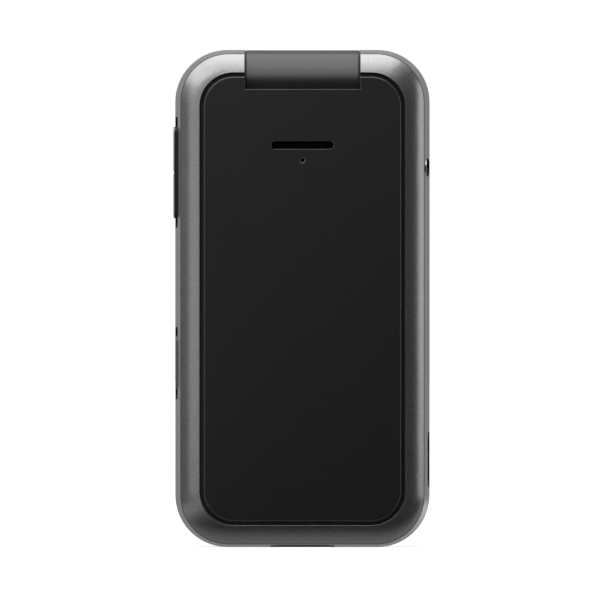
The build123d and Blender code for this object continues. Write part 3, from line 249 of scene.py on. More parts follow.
def box_zone(x_range, y_range, z_range):
    """Zone inside a box given by its limits in mm."""
    limits = np.array([x_range, y_range, z_range]) * MM
    centre, half = limits.mean(axis=1), (limits[:, 1] - limits[:, 0]) / 2

    def mask(tree, place):
        """Mask of the box."""
        return use(tree, BOX, {"Vector": place, "Middle": tuple(centre), "Half": tuple(half)})["Mask"]
    return mask


def bore_zone(x_range, middle_mm, radius):
    """Zone inside a round hole of a radius in mm along X, between two planes."""
    between = box_zone(x_range, ALL, ALL)

    def mask(tree, place):
        """Mask of the hole."""
        near = use(tree, ROUND, {"Vector": place, "Middle": tuple(MM * part for part in middle_mm),
                                 "Across": (0.0, 1.0, 1.0), "Radius": radius * MM})["Mask"]
        return maths(tree, "MULTIPLY", near, between(tree, place))
    return mask


def depth_zone(depth, y_range=ALL):
    """Zone deeper inside the phone's outline than a depth in mm, between two planes."""
    between = box_zone(ALL, y_range, ALL)

    def mask(tree, place):
        """Mask of the inner region."""
        inside = maths(tree, "GREATER_THAN", use(tree, OUTLINE, {"Vector": place})["Depth"], depth * MM)
        return maths(tree, "MULTIPLY", inside, between(tree, place))
    return mask


def finish(name, colour, roughness, metallic=0.0, grain=0.15, contrast=0.1, bump=0.02, flakes=0.0,
           handling=0.05, zones=(), constants=None):
    """Procedural finish: fine grain, handling marks, metal flakes if asked, and other colours by zone, some
    of them painted shade and painted highlights.
    Each zone is (mask, colour, roughness, metallic). Grain and bump are in mm."""
    material = bpy.data.materials.new(name)
    material.use_nodes = True
    tree = material.node_tree
    shader = tree.nodes["Principled BSDF"]
    place = put(tree, "TexCoord").outputs["Object"]
    fine = use(tree, GRAIN, {"Vector": place, "Size": grain * MM, "Contrast": contrast})
    marks = use(tree, HANDLING, {"Vector": place, "Amount": handling})
    shades = [fine["Shade"], marks["Shade"]]
    if flakes:
        sparkle = use(tree, FLAKES, {"Vector": place, "Size": FLAKE_SIZE, "Contrast": flakes})
        base = tinted(tree, colour, shades + [sparkle["Shade"]])
    else:
        base = tinted(tree, colour, shades)
    shift = maths(tree, "ADD", fine["Rough"], marks["Rough"])
    rough, metal = maths(tree, "ADD", shift, roughness), None
    for mask, zone_colour, zone_roughness, zone_metallic in zones:
        cover = mask(tree, place)
        zone_base = tinted(tree, zone_colour, shades)
        base = put(tree, "Mix", {"Factor": cover, 4: base, 5: zone_base}, data_type="VECTOR").outputs[1]
        zone_rough = maths(tree, "ADD", shift, zone_roughness)
        rough = put(tree, "Mix", {"Factor": cover, 2: rough, 3: zone_rough}, data_type="FLOAT").outputs[0]
        if zone_metallic != metallic or metal is not None:
            mix = {"Factor": cover, 2: metallic if metal is None else metal, 3: zone_metallic}
            metal = put(tree, "Mix", mix, data_type="FLOAT").outputs[0]
    tree.links.new(base, shader.inputs["Base Color"])
    tree.links.new(rough, shader.inputs["Roughness"])
    if metal is None:
        shader.inputs["Metallic"].default_value = metallic
    else:
        tree.links.new(metal, shader.inputs["Metallic"])
    if bump:
        relief = put(tree, "Bump", {"Strength": BUMP_STRENGTH, "Distance": bump * MM,
                                    "Height": fine["Height"]})
        tree.links.new(relief.outputs["Normal"], shader.inputs["Normal"])
    connect(tree, shader, constants or {})
    return material


WINDOW_IOR, WINDOW_SMEARS = 1.49, 0.03


def glass(name, tint, roughness):
    """Clear window with faint smears."""
    material = bpy.data.materials.new(name)
    material.use_nodes = True
    tree = material.node_tree
    shader = tree.nodes["Principled BSDF"]
    place = put(tree, "TexCoord").outputs["Object"]
    marks = use(tree, HANDLING, {"Vector": place, "Amount": WINDOW_SMEARS})
    rough = maths(tree, "ADD", marks["Rough"], roughness)
    connect(tree, shader, {"Roughness": rough, "Base Color": (*tint, 1.0), "Transmission Weight": 1.0,
                           "IOR": WINDOW_IOR})
    return material


# The last and darkest black is painted shade, put in the hinge notch, the side pockets and holes, and on the
# rocker's root where shade falls.
GREY, BLACK, SHADOW_BLACK = (0.364, 0.362, 0.360), (0.012, 0.012, 0.013), (0.003, 0.003, 0.0033)
plain_black, painted_shadow_black = (BLACK, 0.45, 0.0), (SHADOW_BLACK, 0.6, 0.0)
# Painted shade: the lips on either side of the seam between cover and housing are coloured darker, as the gap
# shades them.
seam_painted_shade = ((0.03, 0.03, 0.031), 0.6, 0.0)

# Places of the zones in mm
y_back, y_crease, y_keypad = Y_BACK / MM, Y_CREASE / MM, Y_KEYPAD / MM
y_edge, y_port, y_jack = (middle(node, "y") / MM for node in ("volume_rocker", "usb_connector", "audio_jack"))
x_ear, z_notch = EAR_X / MM + 0.09, NOTCH_Z / MM - 0.05
LEFT_SIDE, RIGHT_SIDE = (-FAR, -20.0), (20.0, FAR)
POCKET_HALF, ROCKER_POCKET, ALARM_POCKET = 1.48, (69.3, 93.4), (32.1, 47.8)
ROCKER_ROOT_X = -27.72
JACK_MOUTH_R = 1.99
SCOOP_HALF, SCOOP_ENDS = 0.97, (13.0, 25.0)
PORT_HALF_W, PORT_HALF_T, PORT_DEPTH = 7.0, 1.97, 3.0
COVER_WALL, COVER_FLOOR, HOUSING_WALL, RIM_WALL = 1.6, 1.75, 1.5, 1.3
CHAMFER_TOP, CHAMFER_END = y_back + 0.01, y_back + 0.16


def about(place, half):
    """Range of a half width to either side of a place."""
    return place - half, place + half


# Painted shade along the seam at the crease.
seam_shade_zone = box_zone(ALL, (y_crease - 0.08, y_crease + 0.15), ALL)
# Painted shade: the cheeks of the hinge notch beside the barrel are coloured near black.
notch_shade_zone = box_zone((-x_ear, x_ear), ALL, (z_notch, FAR))
# Painted shade: the walls of the side pockets, the jack's hole, the nail scoop and the port's recess are
# coloured near black.
rocker_zone = box_zone(LEFT_SIDE, about(y_edge, POCKET_HALF), ROCKER_POCKET)
alarm_zone = box_zone(LEFT_SIDE, about(y_edge, POCKET_HALF), ALARM_POCKET)
# Painted shade: the root of the rocker, inside its pocket, is coloured near black.
rocker_shaded_root = box_zone((ROCKER_ROOT_X, FAR), ALL, ALL)
jack_zone = bore_zone(RIGHT_SIDE, (0, y_jack, middle("audio_jack", "z") / MM), JACK_MOUTH_R)
scoop_zone = box_zone(RIGHT_SIDE, about(y_edge, SCOOP_HALF), SCOOP_ENDS)
port_zone = box_zone((-PORT_HALF_W, PORT_HALF_W), about(y_port, PORT_HALF_T), (-FAR, PORT_DEPTH))
cover_inside = depth_zone(COVER_WALL, (y_back + COVER_FLOOR, FAR))
housing_inside = depth_zone(HOUSING_WALL)
plate_zone = depth_zone(RIM_WALL, (-FAR, y_keypad + 0.05))
rim_inside = depth_zone(RIM_WALL)
# Painted highlight: a lighter grey at the depth of the chamfers round the panel's edge, its slot and its
# pinhole.
chamfer_highlight_zone = box_zone(ALL, (CHAMFER_TOP, CHAMFER_END), ALL)
groove_zone = box_zone(ALL, (CHAMFER_END, FAR), ALL)

cover_zones = [(seam_shade_zone, *seam_painted_shade), (notch_shade_zone, *painted_shadow_black), (cover_inside, *plain_black)]
shaded_openings = (notch_shade_zone, rocker_zone, alarm_zone, jack_zone, scoop_zone, port_zone)
housing_zones = [(seam_shade_zone, *seam_painted_shade), (housing_inside, *plain_black)]
housing_zones += [(zone, *painted_shadow_black) for zone in shaded_openings]
frame_zones = [(plate_zone, *plain_black), (notch_shade_zone, *painted_shadow_black)]
lid_zones = [(rim_inside, *plain_black)]
# The lighter first colour is a painted highlight on the chamfers; deeper walls are a glossier black.
panel_zones = [(chamfer_highlight_zone, (0.055, 0.055, 0.055), 0.3, 0.0), (groove_zone, (0.014, 0.014, 0.0145), 0.12, 0.0)]

PAINT = {"grain": 0.12, "contrast": 0.08, "bump": 0.001, "flakes": 0.14, "handling": 0.016}
BARREL_PAINT = {"grain": 0.12, "contrast": 0.05, "bump": 0.0008, "flakes": 0.05, "handling": 0.03}
SMOOTH = {"contrast": 0.1, "bump": 0.0}

materials = {
    "cover_grey": finish("satin_grey_cover", GREY, 0.28, 0.9, zones=cover_zones, **PAINT),
    "housing_grey": finish("satin_grey_band", GREY, 0.30, 0.9, zones=housing_zones, **PAINT),
    "frame_grey": finish("grey_rim_black_plate", GREY, 0.30, 0.9, zones=frame_zones, **PAINT),
    "lid_rim_grey": finish("grey_rim_black_inside", GREY, 0.30, 0.9, zones=lid_zones, **PAINT),
    "lid_grey": finish("satin_grey_lid", GREY, 0.30, 0.9, **PAINT),
    "barrel_grey": finish("dark_barrel_paint", (0.077, 0.077, 0.077), 0.33, 0.9, **BARREL_PAINT),
    "panel_black": finish("matt_black_panel", (0.0062, 0.0062, 0.0063), 0.5, grain=0.16, contrast=0.25,
                          bump=0.012, zones=panel_zones, constants={"Specular IOR Level": 0.62}),
    "key_black": finish("satin_black_keys", (0.014, 0.014, 0.015), 0.36, grain=0.1, contrast=0.15,
                        bump=0.006),
    # The rocker's root is painted shade.
    "side_key": finish("grey_side_key_black_root", GREY, 0.3, 0.9, grain=0.12, contrast=0.1, bump=0.004,
                       zones=[(rocker_shaded_root, *painted_shadow_black)]),
    "alarm_key": finish("grey_ribbed_key", (0.16, 0.16, 0.16), 0.4, grain=0.12, contrast=0.1, bump=0.004),
    "mesh_black": finish("black_mesh", (0.002, 0.002, 0.002), 0.8, grain=0.1, **SMOOTH,
                         constants={"Specular IOR Level": 0.05}),
    "gloss_black": finish("gloss_black_window", (0.006, 0.006, 0.0065), 0.06, grain=0.5, contrast=0.02,
                          bump=0.0, handling=0.03),
    "board_green": finish("board_mask", (0.012, 0.085, 0.035), 0.3, grain=0.8, contrast=0.35, bump=0.01),
    "steel": finish("plain_steel", (0.56, 0.56, 0.57), 0.28, 1.0, grain=0.25, contrast=0.08, bump=0.004),
    "gold": finish("gold_contacts", (0.83, 0.60, 0.22), 0.22, 1.0, grain=0.2, contrast=0.05, bump=0.003),
    "rubber": finish("soft_rubber", (0.02, 0.02, 0.021), 0.75, grain=0.2, contrast=0.2, bump=0.02),
    "battery_grey": finish("battery_wrap", (0.30, 0.31, 0.32), 0.45, grain=0.6, contrast=0.08, bump=0.01),
    "inner_plastic": finish("black_moulding", (0.016, 0.016, 0.017), 0.5, grain=0.2, contrast=0.2,
                            bump=0.015),
    "flex_amber": finish("amber_flex", (0.45, 0.20, 0.03), 0.35, grain=0.5, contrast=0.15, bump=0.005),
    "display_black": finish("dark_display", (0.004, 0.0045, 0.006), 0.12, grain=0.1, contrast=0.05, bump=0.0,
                            handling=0.02),
    "frosted": finish("frosted_lens", (0.75, 0.74, 0.68), 0.3, grain=0.3, contrast=0.1, bump=0.01),
    "glass_clear": glass("clear_window", (0.93, 0.94, 0.95), 0.03),
    "glass_tinted": glass("tinted_camera_glass", (0.55, 0.57, 0.62), 0.02),
    "print_black": finish("black_window_print", (0.005, 0.005, 0.0055), 0.2, grain=0.3, **SMOOTH),
    "key_metal": finish("grey_middle_key", (0.30, 0.302, 0.308), 0.32, 0.9, **PAINT),
    "lens_glass": finish("coated_lens", (0.006, 0.008, 0.016), 0.05, grain=0.3, handling=0.02, **SMOOTH,
                         constants={"Coat Weight": 1.0, "Coat Roughness": 0.02, "Coat IOR": 1.8}),
    "lens_black": finish("lens_stack_black", (0.006, 0.006, 0.008), 0.15, grain=0.2, **SMOOTH),
}
MARK_COLOURS = {"white": (0.78, 0.78, 0.76), "green": (0.03, 0.42, 0.10), "red": (0.55, 0.03, 0.02)}
for tone, colour in MARK_COLOURS.items():
    materials["mark_" + tone] = finish(tone + "_key_mark", colour, 0.5, grain=0.1, contrast=0.06, bump=0.0)

DIGITS = tuple("key_%d" % digit for digit in range(10))
PLAIN_KEYS = DIGITS + ("key_star", "key_hash", "call_key", "end_key", "soft_key_left", "soft_key_right")
FINISHES = {
    "cover_grey": ("battery_cover",), "housing_grey": ("rear_housing",), "frame_grey": ("keypad_frame",),
    "lid_rim_grey": ("lid_inner_shell",), "lid_grey": ("lid_outer_shell",), "barrel_grey": ("hinge_barrel",),
    "panel_black": ("back_panel",), "side_key": ("volume_rocker",), "alarm_key": ("emergency_key",),
    "mesh_black": ("speaker_mesh",), "key_black": PLAIN_KEYS + ("nav_ring",), "key_metal": ("centre_key",),
    "gloss_black": ("outer_window",), "glass_clear": ("display_window",), "glass_tinted": ("camera_lens",),
    "board_green": ("main_board", "lid_board"),
    "steel": ("shield_cans", "usb_connector", "base_screws", "lid_screws", "hinge_cam_shaft", "hinge_sleeve",
              "hinge_spring", "hinge_follower", "key_domes", "camera_ring", "sim_holder", "vibration_motor"),
    "gold": ("battery_contacts",), "rubber": ("lid_bumpers",), "battery_grey": ("battery",),
    "flex_amber": ("hinge_flex",), "display_black": ("main_display", "outer_display"),
    "frosted": ("flash_lens",),
}
finish_of = {node: name for name, members in FINISHES.items() for node in members}
for node, holder in nodes.items():
    holder.data.materials.clear()
    holder.data.materials.append(materials[finish_of.get(node, "inner_plastic")])


# Moulded pieces with their sharp edges eased

EDGE_TURN = math.radians(28)
MERGE_WITHIN, FLAT_WITHIN = 0.0005 * MM, math.radians(0.3)


def eased(node, width):
    """A copy of a CAD node with its triangles merged and its sharp edges rounded by a small width in mm."""
    mesh = nodes[node].data.copy()
    work = bmesh.new()
    work.from_mesh(mesh)
    bmesh.ops.remove_doubles(work, verts=work.verts, dist=MERGE_WITHIN)
    bmesh.ops.dissolve_limit(work, angle_limit=FLAT_WITHIN, verts=work.verts, edges=work.edges)
    for edge in work.edges:
        edge.smooth = not (edge.is_manifold and edge.calc_face_angle() > EDGE_TURN)
    for face in work.faces:
        face.smooth = True
    work.to_mesh(mesh)
    work.free()
    piece = bpy.data.objects.new(node + "_eased", mesh)
    bpy.context.collection.objects.link(piece)
    bevel = piece.modifiers.new("eased_edges", "BEVEL")
    bevel.width, bevel.segments = width * MM, 2
    bevel.limit_method, bevel.angle_limit = "ANGLE", EDGE_TURN
    bevel.use_clamp_overlap, bevel.harden_normals = False, True
    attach(piece, body_of[node])
    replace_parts(piece, node)


EASED_WIDTHS = {"battery_cover": 0.06, "back_panel": 0.13, "hinge_barrel": 0.10, "keypad_frame": 0.08,
                "lid_outer_shell": 0.15, "lid_inner_shell": 0.10, "volume_rocker": 0.08, "camera_ring": 0.12,
                "battery": 0.5, "outer_window": 0.06, "usb_connector": 0.05, "emergency_key": 0.05,
                "speaker_mesh": 0.03}
for node, width in EASED_WIDTHS.items():
    eased(node, width)


# Surfaces worked out on grids


def new_piece(name, mesh, material, body):
    """Places a mesh as a piece of a body, with one finish."""
    mesh.materials.append(materials[material])
    piece = bpy.data.objects.new(name, mesh)
    bpy.context.collection.objects.link(piece)
    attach(piece, body)
    return piece


def add_surface(name, rows, material, body, closed=False):
    """Closed mesh from rows of points, each row a loop: neighbouring rows are joined by quads, and the end
    rows are filled, or joined to each other. Faces point outwards by the sign of the enclosed volume."""
    rows = np.asarray(rows, float)
    index = np.arange(rows.shape[0] * rows.shape[1]).reshape(rows.shape[:2])
    lower, upper = (index, np.roll(index, -1, axis=0)) if closed else (index[:-1], index[1:])
    quads = np.stack([lower, np.roll(lower, -1, axis=1), np.roll(upper, -1, axis=1), upper], axis=-1)
    quads = quads.reshape(-1, 4)
    points = rows.reshape(-1, 3)
    a, b, c, d = (points[quads[:, corner]] - points.mean(axis=0) for corner in range(4))
    volume = np.einsum("ij,ij->", a, np.cross(b, c)) + np.einsum("ij,ij->", a, np.cross(c, d))
    ends = [] if closed else [index[0][::-1].tolist(), index[-1].tolist()]
    for end in ends:
        fan = points[end] - points.mean(axis=0)
        volume += np.einsum("ij,ij->", np.repeat(fan[:1], len(fan) - 2, axis=0), np.cross(fan[1:-1], fan[2:]))
    faces = quads.tolist() + ends
    mesh = bpy.data.meshes.new(name)
    mesh.from_pydata(points.tolist(), [], faces if volume > 0 else [face[::-1] for face in faces])
    mesh.polygons.foreach_set("use_smooth", [True] * len(faces))
    mesh.set_sharp_from_angle(angle=EDGE_TURN)
    return new_piece(name, mesh, material, body)


def rounded_loop(half_w, half_h, radius, steps=10):
    """Loop of a rounded rectangle: quarter circles round the corners of an inner rectangle, of one radius or
    of four, from the upper right corner on to the lower right."""
    turn = np.linspace(0, math.pi / 2, steps)
    turns = np.concatenate([turn + quarter * math.pi / 2 for quarter in range(4)])
    signs = np.repeat([(1, 1), (-1, 1), (-1, -1), (1, -1)], steps, axis=0)
    radii = np.repeat(np.broadcast_to(radius, 4), steps)[:, None]
    core = signs * (np.array([half_w, half_h]) - radii)
    return core + radii * np.stack([np.cos(turns), np.sin(turns)], axis=1)


def round_loop(radius, sides=64):
    """Loop of a circle."""
    turns = np.linspace(0, 2 * math.pi, sides, endpoint=False)
    return radius * np.stack([np.cos(turns), np.sin(turns)], axis=1)


def at_depth(loop, centre, y):
    """Puts a flat loop of x and z offsets at a centre and a depth."""
    return np.stack([loop[:, 0] + centre[0], np.full(len(loop), y), loop[:, 1] + centre[1]], axis=1)


def centre_of(node):
    """Middle of a node's box, seen along the depth."""
    return middle(node, "x"), middle(node, "z")


FLANGE_W, FLANGE_T = 0.45 * MM, 0.3 * MM
KEY_EDGE, KEY_R, CENTRE_R = 0.38 * MM, 2.4 * MM, 5.2 * MM
KEY_BULGE, CENTRE_DISH = 0.08 * MM, 0.22 * MM
RING_R, RING_GAP, RING_DROP, RING_TILT = 9.0 * MM, 0.12 * MM, 0.5 * MM, 0.12 * MM
RING_CORNER_STEPS, RING_ARCH_STEPS = 24, 21
ROLL = np.linspace(0, math.pi / 2, 7)
FACE_SCALES = 0.85, 0.7, 0.5, 0.3, 0.1


def key_rows(node, loop, dish):
    """Rows of a key: flange, straight side, edge rolled through a quarter circle, and a face that bulges, or
    sinks if the dish is above nought, with the square of the distance from its middle. The loop is a function
    of the amount it is drawn inwards."""
    centre, foot, top = centre_of(node), low(node, "y"), high(node, "y")
    rim = top - max(-dish, 0.0)
    rows = [at_depth(loop(-FLANGE_W), centre, foot), at_depth(loop(-FLANGE_W), centre, foot + FLANGE_T),
            at_depth(loop(0.0), centre, foot + FLANGE_T)]
    rows += [at_depth(loop(KEY_EDGE * (1 - math.cos(turn))), centre, rim - KEY_EDGE * (1 - math.sin(turn)))
             for turn in ROLL]
    face = loop(KEY_EDGE)
    rows += [at_depth(face * scale, centre, rim - dish * (1 - scale ** 2)) for scale in FACE_SCALES]
    return rows


def plain_key(node):
    """Cap of a number, call, end or soft key, with a slightly raised middle."""
    half_w, half_h = (half - FLANGE_W for half in half_sizes(node))

    def loop(inset):
        """Outline of the key, drawn inwards."""
        return rounded_loop(half_w - inset, half_h - inset, KEY_R - inset)
    rows = key_rows(node, loop, -KEY_BULGE)
    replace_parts(add_surface(node + "_cap", rows, "key_black", body_of[node]), node)


def centre_key():
    """Round middle key with a shallow dish."""
    rows = key_rows("centre_key", lambda inset: round_loop(CENTRE_R - inset), CENTRE_DISH)
    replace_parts(add_surface("centre_key_cap", rows, "key_metal", body_of["centre_key"]), "centre_key")


def nav_ring():
    """Four-way ring: a low arch, one minus the sixth power of the distance from its middle line, carried
    between an outer rounded square and an inner circle."""
    node = "nav_ring"
    centre, foot, top = centre_of(node), low(node, "y"), high(node, "y")
    half_w, half_h = (half - FLANGE_W for half in half_sizes(node))
    outer = rounded_loop(half_w, half_h, RING_R, RING_CORNER_STEPS)
    flange = rounded_loop(half_w + FLANGE_W, half_h + FLANGE_W, RING_R + FLANGE_W, RING_CORNER_STEPS)
    inner = outer / np.linalg.norm(outer, axis=1)[:, None] * (CENTRE_R + RING_GAP)
    part = np.linspace(0, 1, RING_ARCH_STEPS)
    arch = top - RING_DROP * np.abs(2 * part - 1) ** 6 - RING_TILT * part
    rows = [at_depth(flange, centre, foot), at_depth(flange, centre, foot + FLANGE_T),
            at_depth(outer, centre, foot + FLANGE_T)]
    rows += [at_depth(outer * (1 - share) + inner * share, centre, y) for share, y in zip(part, arch)]
    rows.append(at_depth(inner, centre, foot))
    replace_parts(add_surface("nav_ring_cap", rows, "key_black", body_of[node], closed=True), node)


for node in PLAIN_KEYS:
    plain_key(node)
centre_key()
nav_ring()


# Marks on the keys: raised from below the face to a little above it

MARK_TOP, MARK_T = 0.015 * MM, 0.16 * MM
DIGIT_H, LETTERS_H, STAR_H, HASH_H = 5.6, 2.9, 8.0, 4.8
DIGIT_RIGHT, LETTERS_RIGHT, LETTERS_UP, STAR_UP = -2.7, 2.6, -0.3, -1.6
SOFT_MARK, SOFT_MARK_W = [(-1.7, 0), (0, 0), (1.7, 0)], 0.5
ARROW, ARROW_W = np.array([(-1.3, 8.2), (-0.65, 8.85), (0.0, 9.5), (0.65, 8.85), (1.3, 8.2)]), 0.4
HANDSET_R, HANDSET_DROP, HANDSET_REACH = 3.1, 2.0, 64
HANDSET_W, HANDSET_END_W, HANDSET_END_FROM, HANDSET_END_STEP = 0.8, 1.1, 0.62, 0.08


def lettering(name, words, height, node, right=0.0, up=0.0, material="mark_white"):
    """Plain letters on a key, centred on an offset in mm, as read from the keypad side."""
    curve = bpy.data.curves.new(name + "_text", "FONT")
    curve.body, curve.size, curve.align_x, curve.align_y = words, height * MM, "CENTER", "CENTER"
    curve.resolution_u, curve.extrude = 3, MARK_T / 2
    holder = bpy.data.objects.new(name + "_text", curve)
    bpy.context.collection.objects.link(holder)
    mesh = bpy.data.meshes.new_from_object(holder.evaluated_get(bpy.context.evaluated_depsgraph_get()))
    bpy.data.objects.remove(holder)
    flat = np.empty(len(mesh.vertices) * 3)
    mesh.vertices.foreach_get("co", flat)
    flat = flat.reshape(-1, 3)
    centre, top = centre_of(node), high(node, "y") + MARK_TOP - MARK_T / 2
    placed = np.stack([centre[0] - flat[:, 0] - right * MM, top + flat[:, 2],
                       centre[1] + flat[:, 1] + up * MM], axis=1)
    mesh.vertices.foreach_set("co", placed.reshape(-1))
    mesh.materials.clear()
    mesh.update()
    return new_piece(name, mesh, material, body_of[node])


def ribbon(name, path, widths, node, material):
    """Ribbon on a key: at each point of a path of (right, up) in mm, half the width to either side."""
    path, widths = np.asarray(path, float) * MM, np.asarray(widths, float)[:, None] * MM
    along = np.gradient(path, axis=0)
    side = np.stack([-along[:, 1], along[:, 0]], axis=1)
    side *= widths / 2 / np.linalg.norm(side, axis=1)[:, None]
    centre, top = centre_of(node), high(node, "y") + MARK_TOP
    loops = np.stack([path + side, path - side, path - side, path + side], axis=1)
    depth = np.broadcast_to([top, top, top - MARK_T, top - MARK_T], loops.shape[:2])
    rows = np.stack([centre[0] - loops[..., 0], depth, centre[1] + loops[..., 1]], axis=-1)
    return add_surface(name, rows, material, body_of[node])


def handset(name, node, material, lean):
    """Plain handset: a ribbon along an arc, wider at both ends, leaning by an angle in degrees."""
    part, upright = np.linspace(-1, 1, 49), math.radians(90 + lean)
    turn = upright + part * math.radians(HANDSET_REACH)
    drop = HANDSET_DROP * np.array([math.cos(upright), math.sin(upright)])
    path = HANDSET_R * np.stack([np.cos(turn), np.sin(turn)], axis=1) - drop
    ends = np.clip((np.abs(part) - HANDSET_END_FROM) / HANDSET_END_STEP, 0, 1)
    ribbon(name, path, HANDSET_W + HANDSET_END_W * ends, node, material)


LETTERS = {"1": "", "2": "abc", "3": "def", "4": "ghi", "5": "jkl", "6": "mno", "7": "pqrs", "8": "tuv",
           "9": "wxyz", "0": "+"}
for digit, letters in LETTERS.items():
    lettering("mark_" + digit, digit, DIGIT_H, "key_" + digit, DIGIT_RIGHT if letters else 0.0)
    if letters:
        lettering("letters_" + digit, letters, LETTERS_H, "key_" + digit, LETTERS_RIGHT, LETTERS_UP)
lettering("mark_star", "*", STAR_H, "key_star", 0.0, STAR_UP)
lettering("mark_hash", "#", HASH_H, "key_hash")
handset("call_mark", "call_key", "mark_green", 40)
handset("end_mark", "end_key", "mark_red", 0)
for node in ("soft_key_left", "soft_key_right"):
    ribbon(node + "_mark", SOFT_MARK, [SOFT_MARK_W] * len(SOFT_MARK), node, "mark_white")


def arrow(name, turn):
    """Small arrowhead on the ring, turned about its middle in degrees: two strokes that meet in a point."""
    angle = math.radians(turn)
    spin = np.array([[math.cos(angle), math.sin(angle)], [-math.sin(angle), math.cos(angle)]])
    ribbon(name, ARROW @ spin, [ARROW_W] * len(ARROW), "nav_ring", "mark_white")


for quarter, side in enumerate(("up", "left", "down", "right")):
    arrow("ring_mark_" + side, 90 * quarter)


# Pieces turned about a line along the phone's width: ends, radii and eased edges in mm

LINER_ENDS, LINER_RADII, LINER_EDGE = (25.6, 26.95), (1.72, 1.93), 0.06
WASHER_ENDS, WASHER_BORE, WASHER_INSET, WASHER_EDGE = (0.01, 0.26), 3.2, 0.06, 0.04


def turned_ring(name, profile, y, z, material, body):
    """Ring: a closed profile of (x, radius) in mm carried round a circle about a line along X."""
    turn = round_loop(1.0)
    profile = np.asarray(profile, float) * MM
    along = np.broadcast_to(profile[:, :1], (len(profile), len(turn)))
    rows = np.stack([along, y + profile[:, 1:] * turn[:, 0], z + profile[:, 1:] * turn[:, 1]], axis=-1)
    return add_surface(name, rows, material, body, closed=True)


def tube_profile(x_from, x_to, inner, outer, lip):
    """Section of a short tube whose outer end is eased by a lip at both its edges."""
    return [(x_from, inner), (x_to - lip, inner), (x_to, inner + lip), (x_to, outer - lip),
            (x_to - lip, outer), (x_from, outer)]


turned_ring("jack_liner", tube_profile(*LINER_ENDS, *LINER_RADII, LINER_EDGE), middle("audio_jack", "y"),
            middle("audio_jack", "z"), "steel", "base")
BARREL_END = high("hinge_barrel", "x") / MM
BARREL_R = half_sizes("hinge_barrel")[1] / MM
washer = tube_profile(*(BARREL_END + end for end in WASHER_ENDS), WASHER_BORE, BARREL_R - WASHER_INSET,
                      WASHER_EDGE)
for side, name in ((-1, "hinge_washer_right"), (1, "hinge_washer_left")):
    turned_ring(name, [(side * x, radius) for x, radius in washer], middle("hinge_barrel", "y"), HINGE_Z,
                "inner_plastic", body_of["hinge_barrel"])


# Lid details

def frame_surface(name, outer, outer_centre, inner, inner_centre, y_front, y_back, material, body):
    """Flat frame between two loops of as many points, with a small thickness."""
    rows = [at_depth(outer, outer_centre, y_back), at_depth(outer, outer_centre, y_front),
            at_depth(inner, inner_centre, y_front), at_depth(inner, inner_centre, y_back)]
    return add_surface(name, rows, material, body, closed=True)


PRINT_INSET, PRINT_R, LIT_INSET, LIT_R = 0.1 * MM, 4.9 * MM, 1.2 * MM, 0.3 * MM
PRINT_FRONT, PRINT_BACK = 0.005 * MM, 0.03 * MM
DOME_R, DOME_H, DOME_FOOT = 1.55, 0.22, -0.30
LIP_W, LIP_H, LIP_ROOT = 0.4, 0.2, 0.05


def window_print():
    """Black print under the clear window, round the lit area of the display."""
    wide, tall = half_sizes("display_window")
    lit_w, lit_h = half_sizes("main_display")
    outer = rounded_loop(wide - PRINT_INSET, tall - PRINT_INSET, PRINT_R)
    inner = rounded_loop(lit_w - LIT_INSET, lit_h - LIT_INSET, LIT_R)
    back = high("display_window", "y")
    frame_surface("window_print", outer, centre_of("display_window"), inner, centre_of("main_display"),
                  back + PRINT_FRONT, back + PRINT_BACK, "print_black", "lid")


def lens_stack():
    """Camera seen through its disc: stepped black cone down to a domed glass, turned about the lens line.
    Both profiles are rows of (radius, depth) in mm."""
    centre, front = centre_of("camera_lens"), low("camera_lens", "y")
    steps = [(3.3, -0.35), (3.3, -0.02), (2.6, -0.02), (2.6, -0.12), (2.1, -0.12), (2.1, -0.22), (1.6, -0.22),
             (1.6, DOME_FOOT)]
    dome = [(DOME_R, -0.34)]
    dome += [(max(DOME_R * math.cos(angle), 0.02), DOME_H * math.sin(angle) + DOME_FOOT)
             for angle in np.linspace(0, math.pi / 2, 12)]
    for name, profile, material in (("lens_steps", steps, "lens_black"), ("lens_dome", dome, "lens_glass")):
        rows = [at_depth(round_loop(radius * MM), centre, front + depth * MM) for radius, depth in profile]
        add_surface(name, rows, material, "lid")


def closing_lip(name, inset, top, top_radius, y_front, y_back, material, body):
    """Low lip along the rim of one half, which closes the slit between the halves: a frame of constant width
    whose lower corners follow the phone's outline. Lengths are in mm."""
    loops, centres = [], []
    for more in (0.0, LIP_W):
        low_z, high_z = inset + more, top - more
        round_low, round_high = CORNER_R / MM - inset - more, top_radius - more
        loops.append(MM * rounded_loop(SIDE_X / MM - inset - more, (high_z - low_z) / 2,
                                       (round_high, round_high, round_low, round_low)))
        centres.append((0.0, MM * (low_z + high_z) / 2))
    frame_surface(name, loops[0], centres[0], loops[1], centres[1], y_front * MM, y_back * MM, material, body)


# Distance of either lip inside the outline, height of its top and radius of its upper corners
LID_LIP, KEYPAD_LIP = (2.1, 91.6, 5.9), (1.4, 92.4, 6.7)
y_lid = low("lid_inner_shell", "y") / MM
window_print()
lens_stack()
closing_lip("lid_lip", *LID_LIP, y_lid - LIP_H, y_lid + LIP_ROOT, "inner_plastic", "lid")
closing_lip("keypad_lip", *KEYPAD_LIP, y_keypad - LIP_ROOT, y_keypad + LIP_H, "inner_plastic",
            body_of["keypad_frame"])


# Light, floor and camera

def area_lamp(name, place, target, size, brightness):
    """Soft box that points at a target; its power is pi times its area times its brightness."""
    data = bpy.data.lights.new(name, "AREA")
    data.shape, data.size, data.size_y = "RECTANGLE", *size
    data.energy = math.pi * size[0] * size[1] * brightness
    lamp = bpy.data.objects.new(name, data)
    bpy.context.collection.objects.link(lamp)
    lamp.location, lamp.visible_camera = place, False
    lamp.rotation_mode = "QUATERNION"
    lamp.rotation_quaternion = Vector(np.subtract(target, place)).to_track_quat("-Z", "Y")


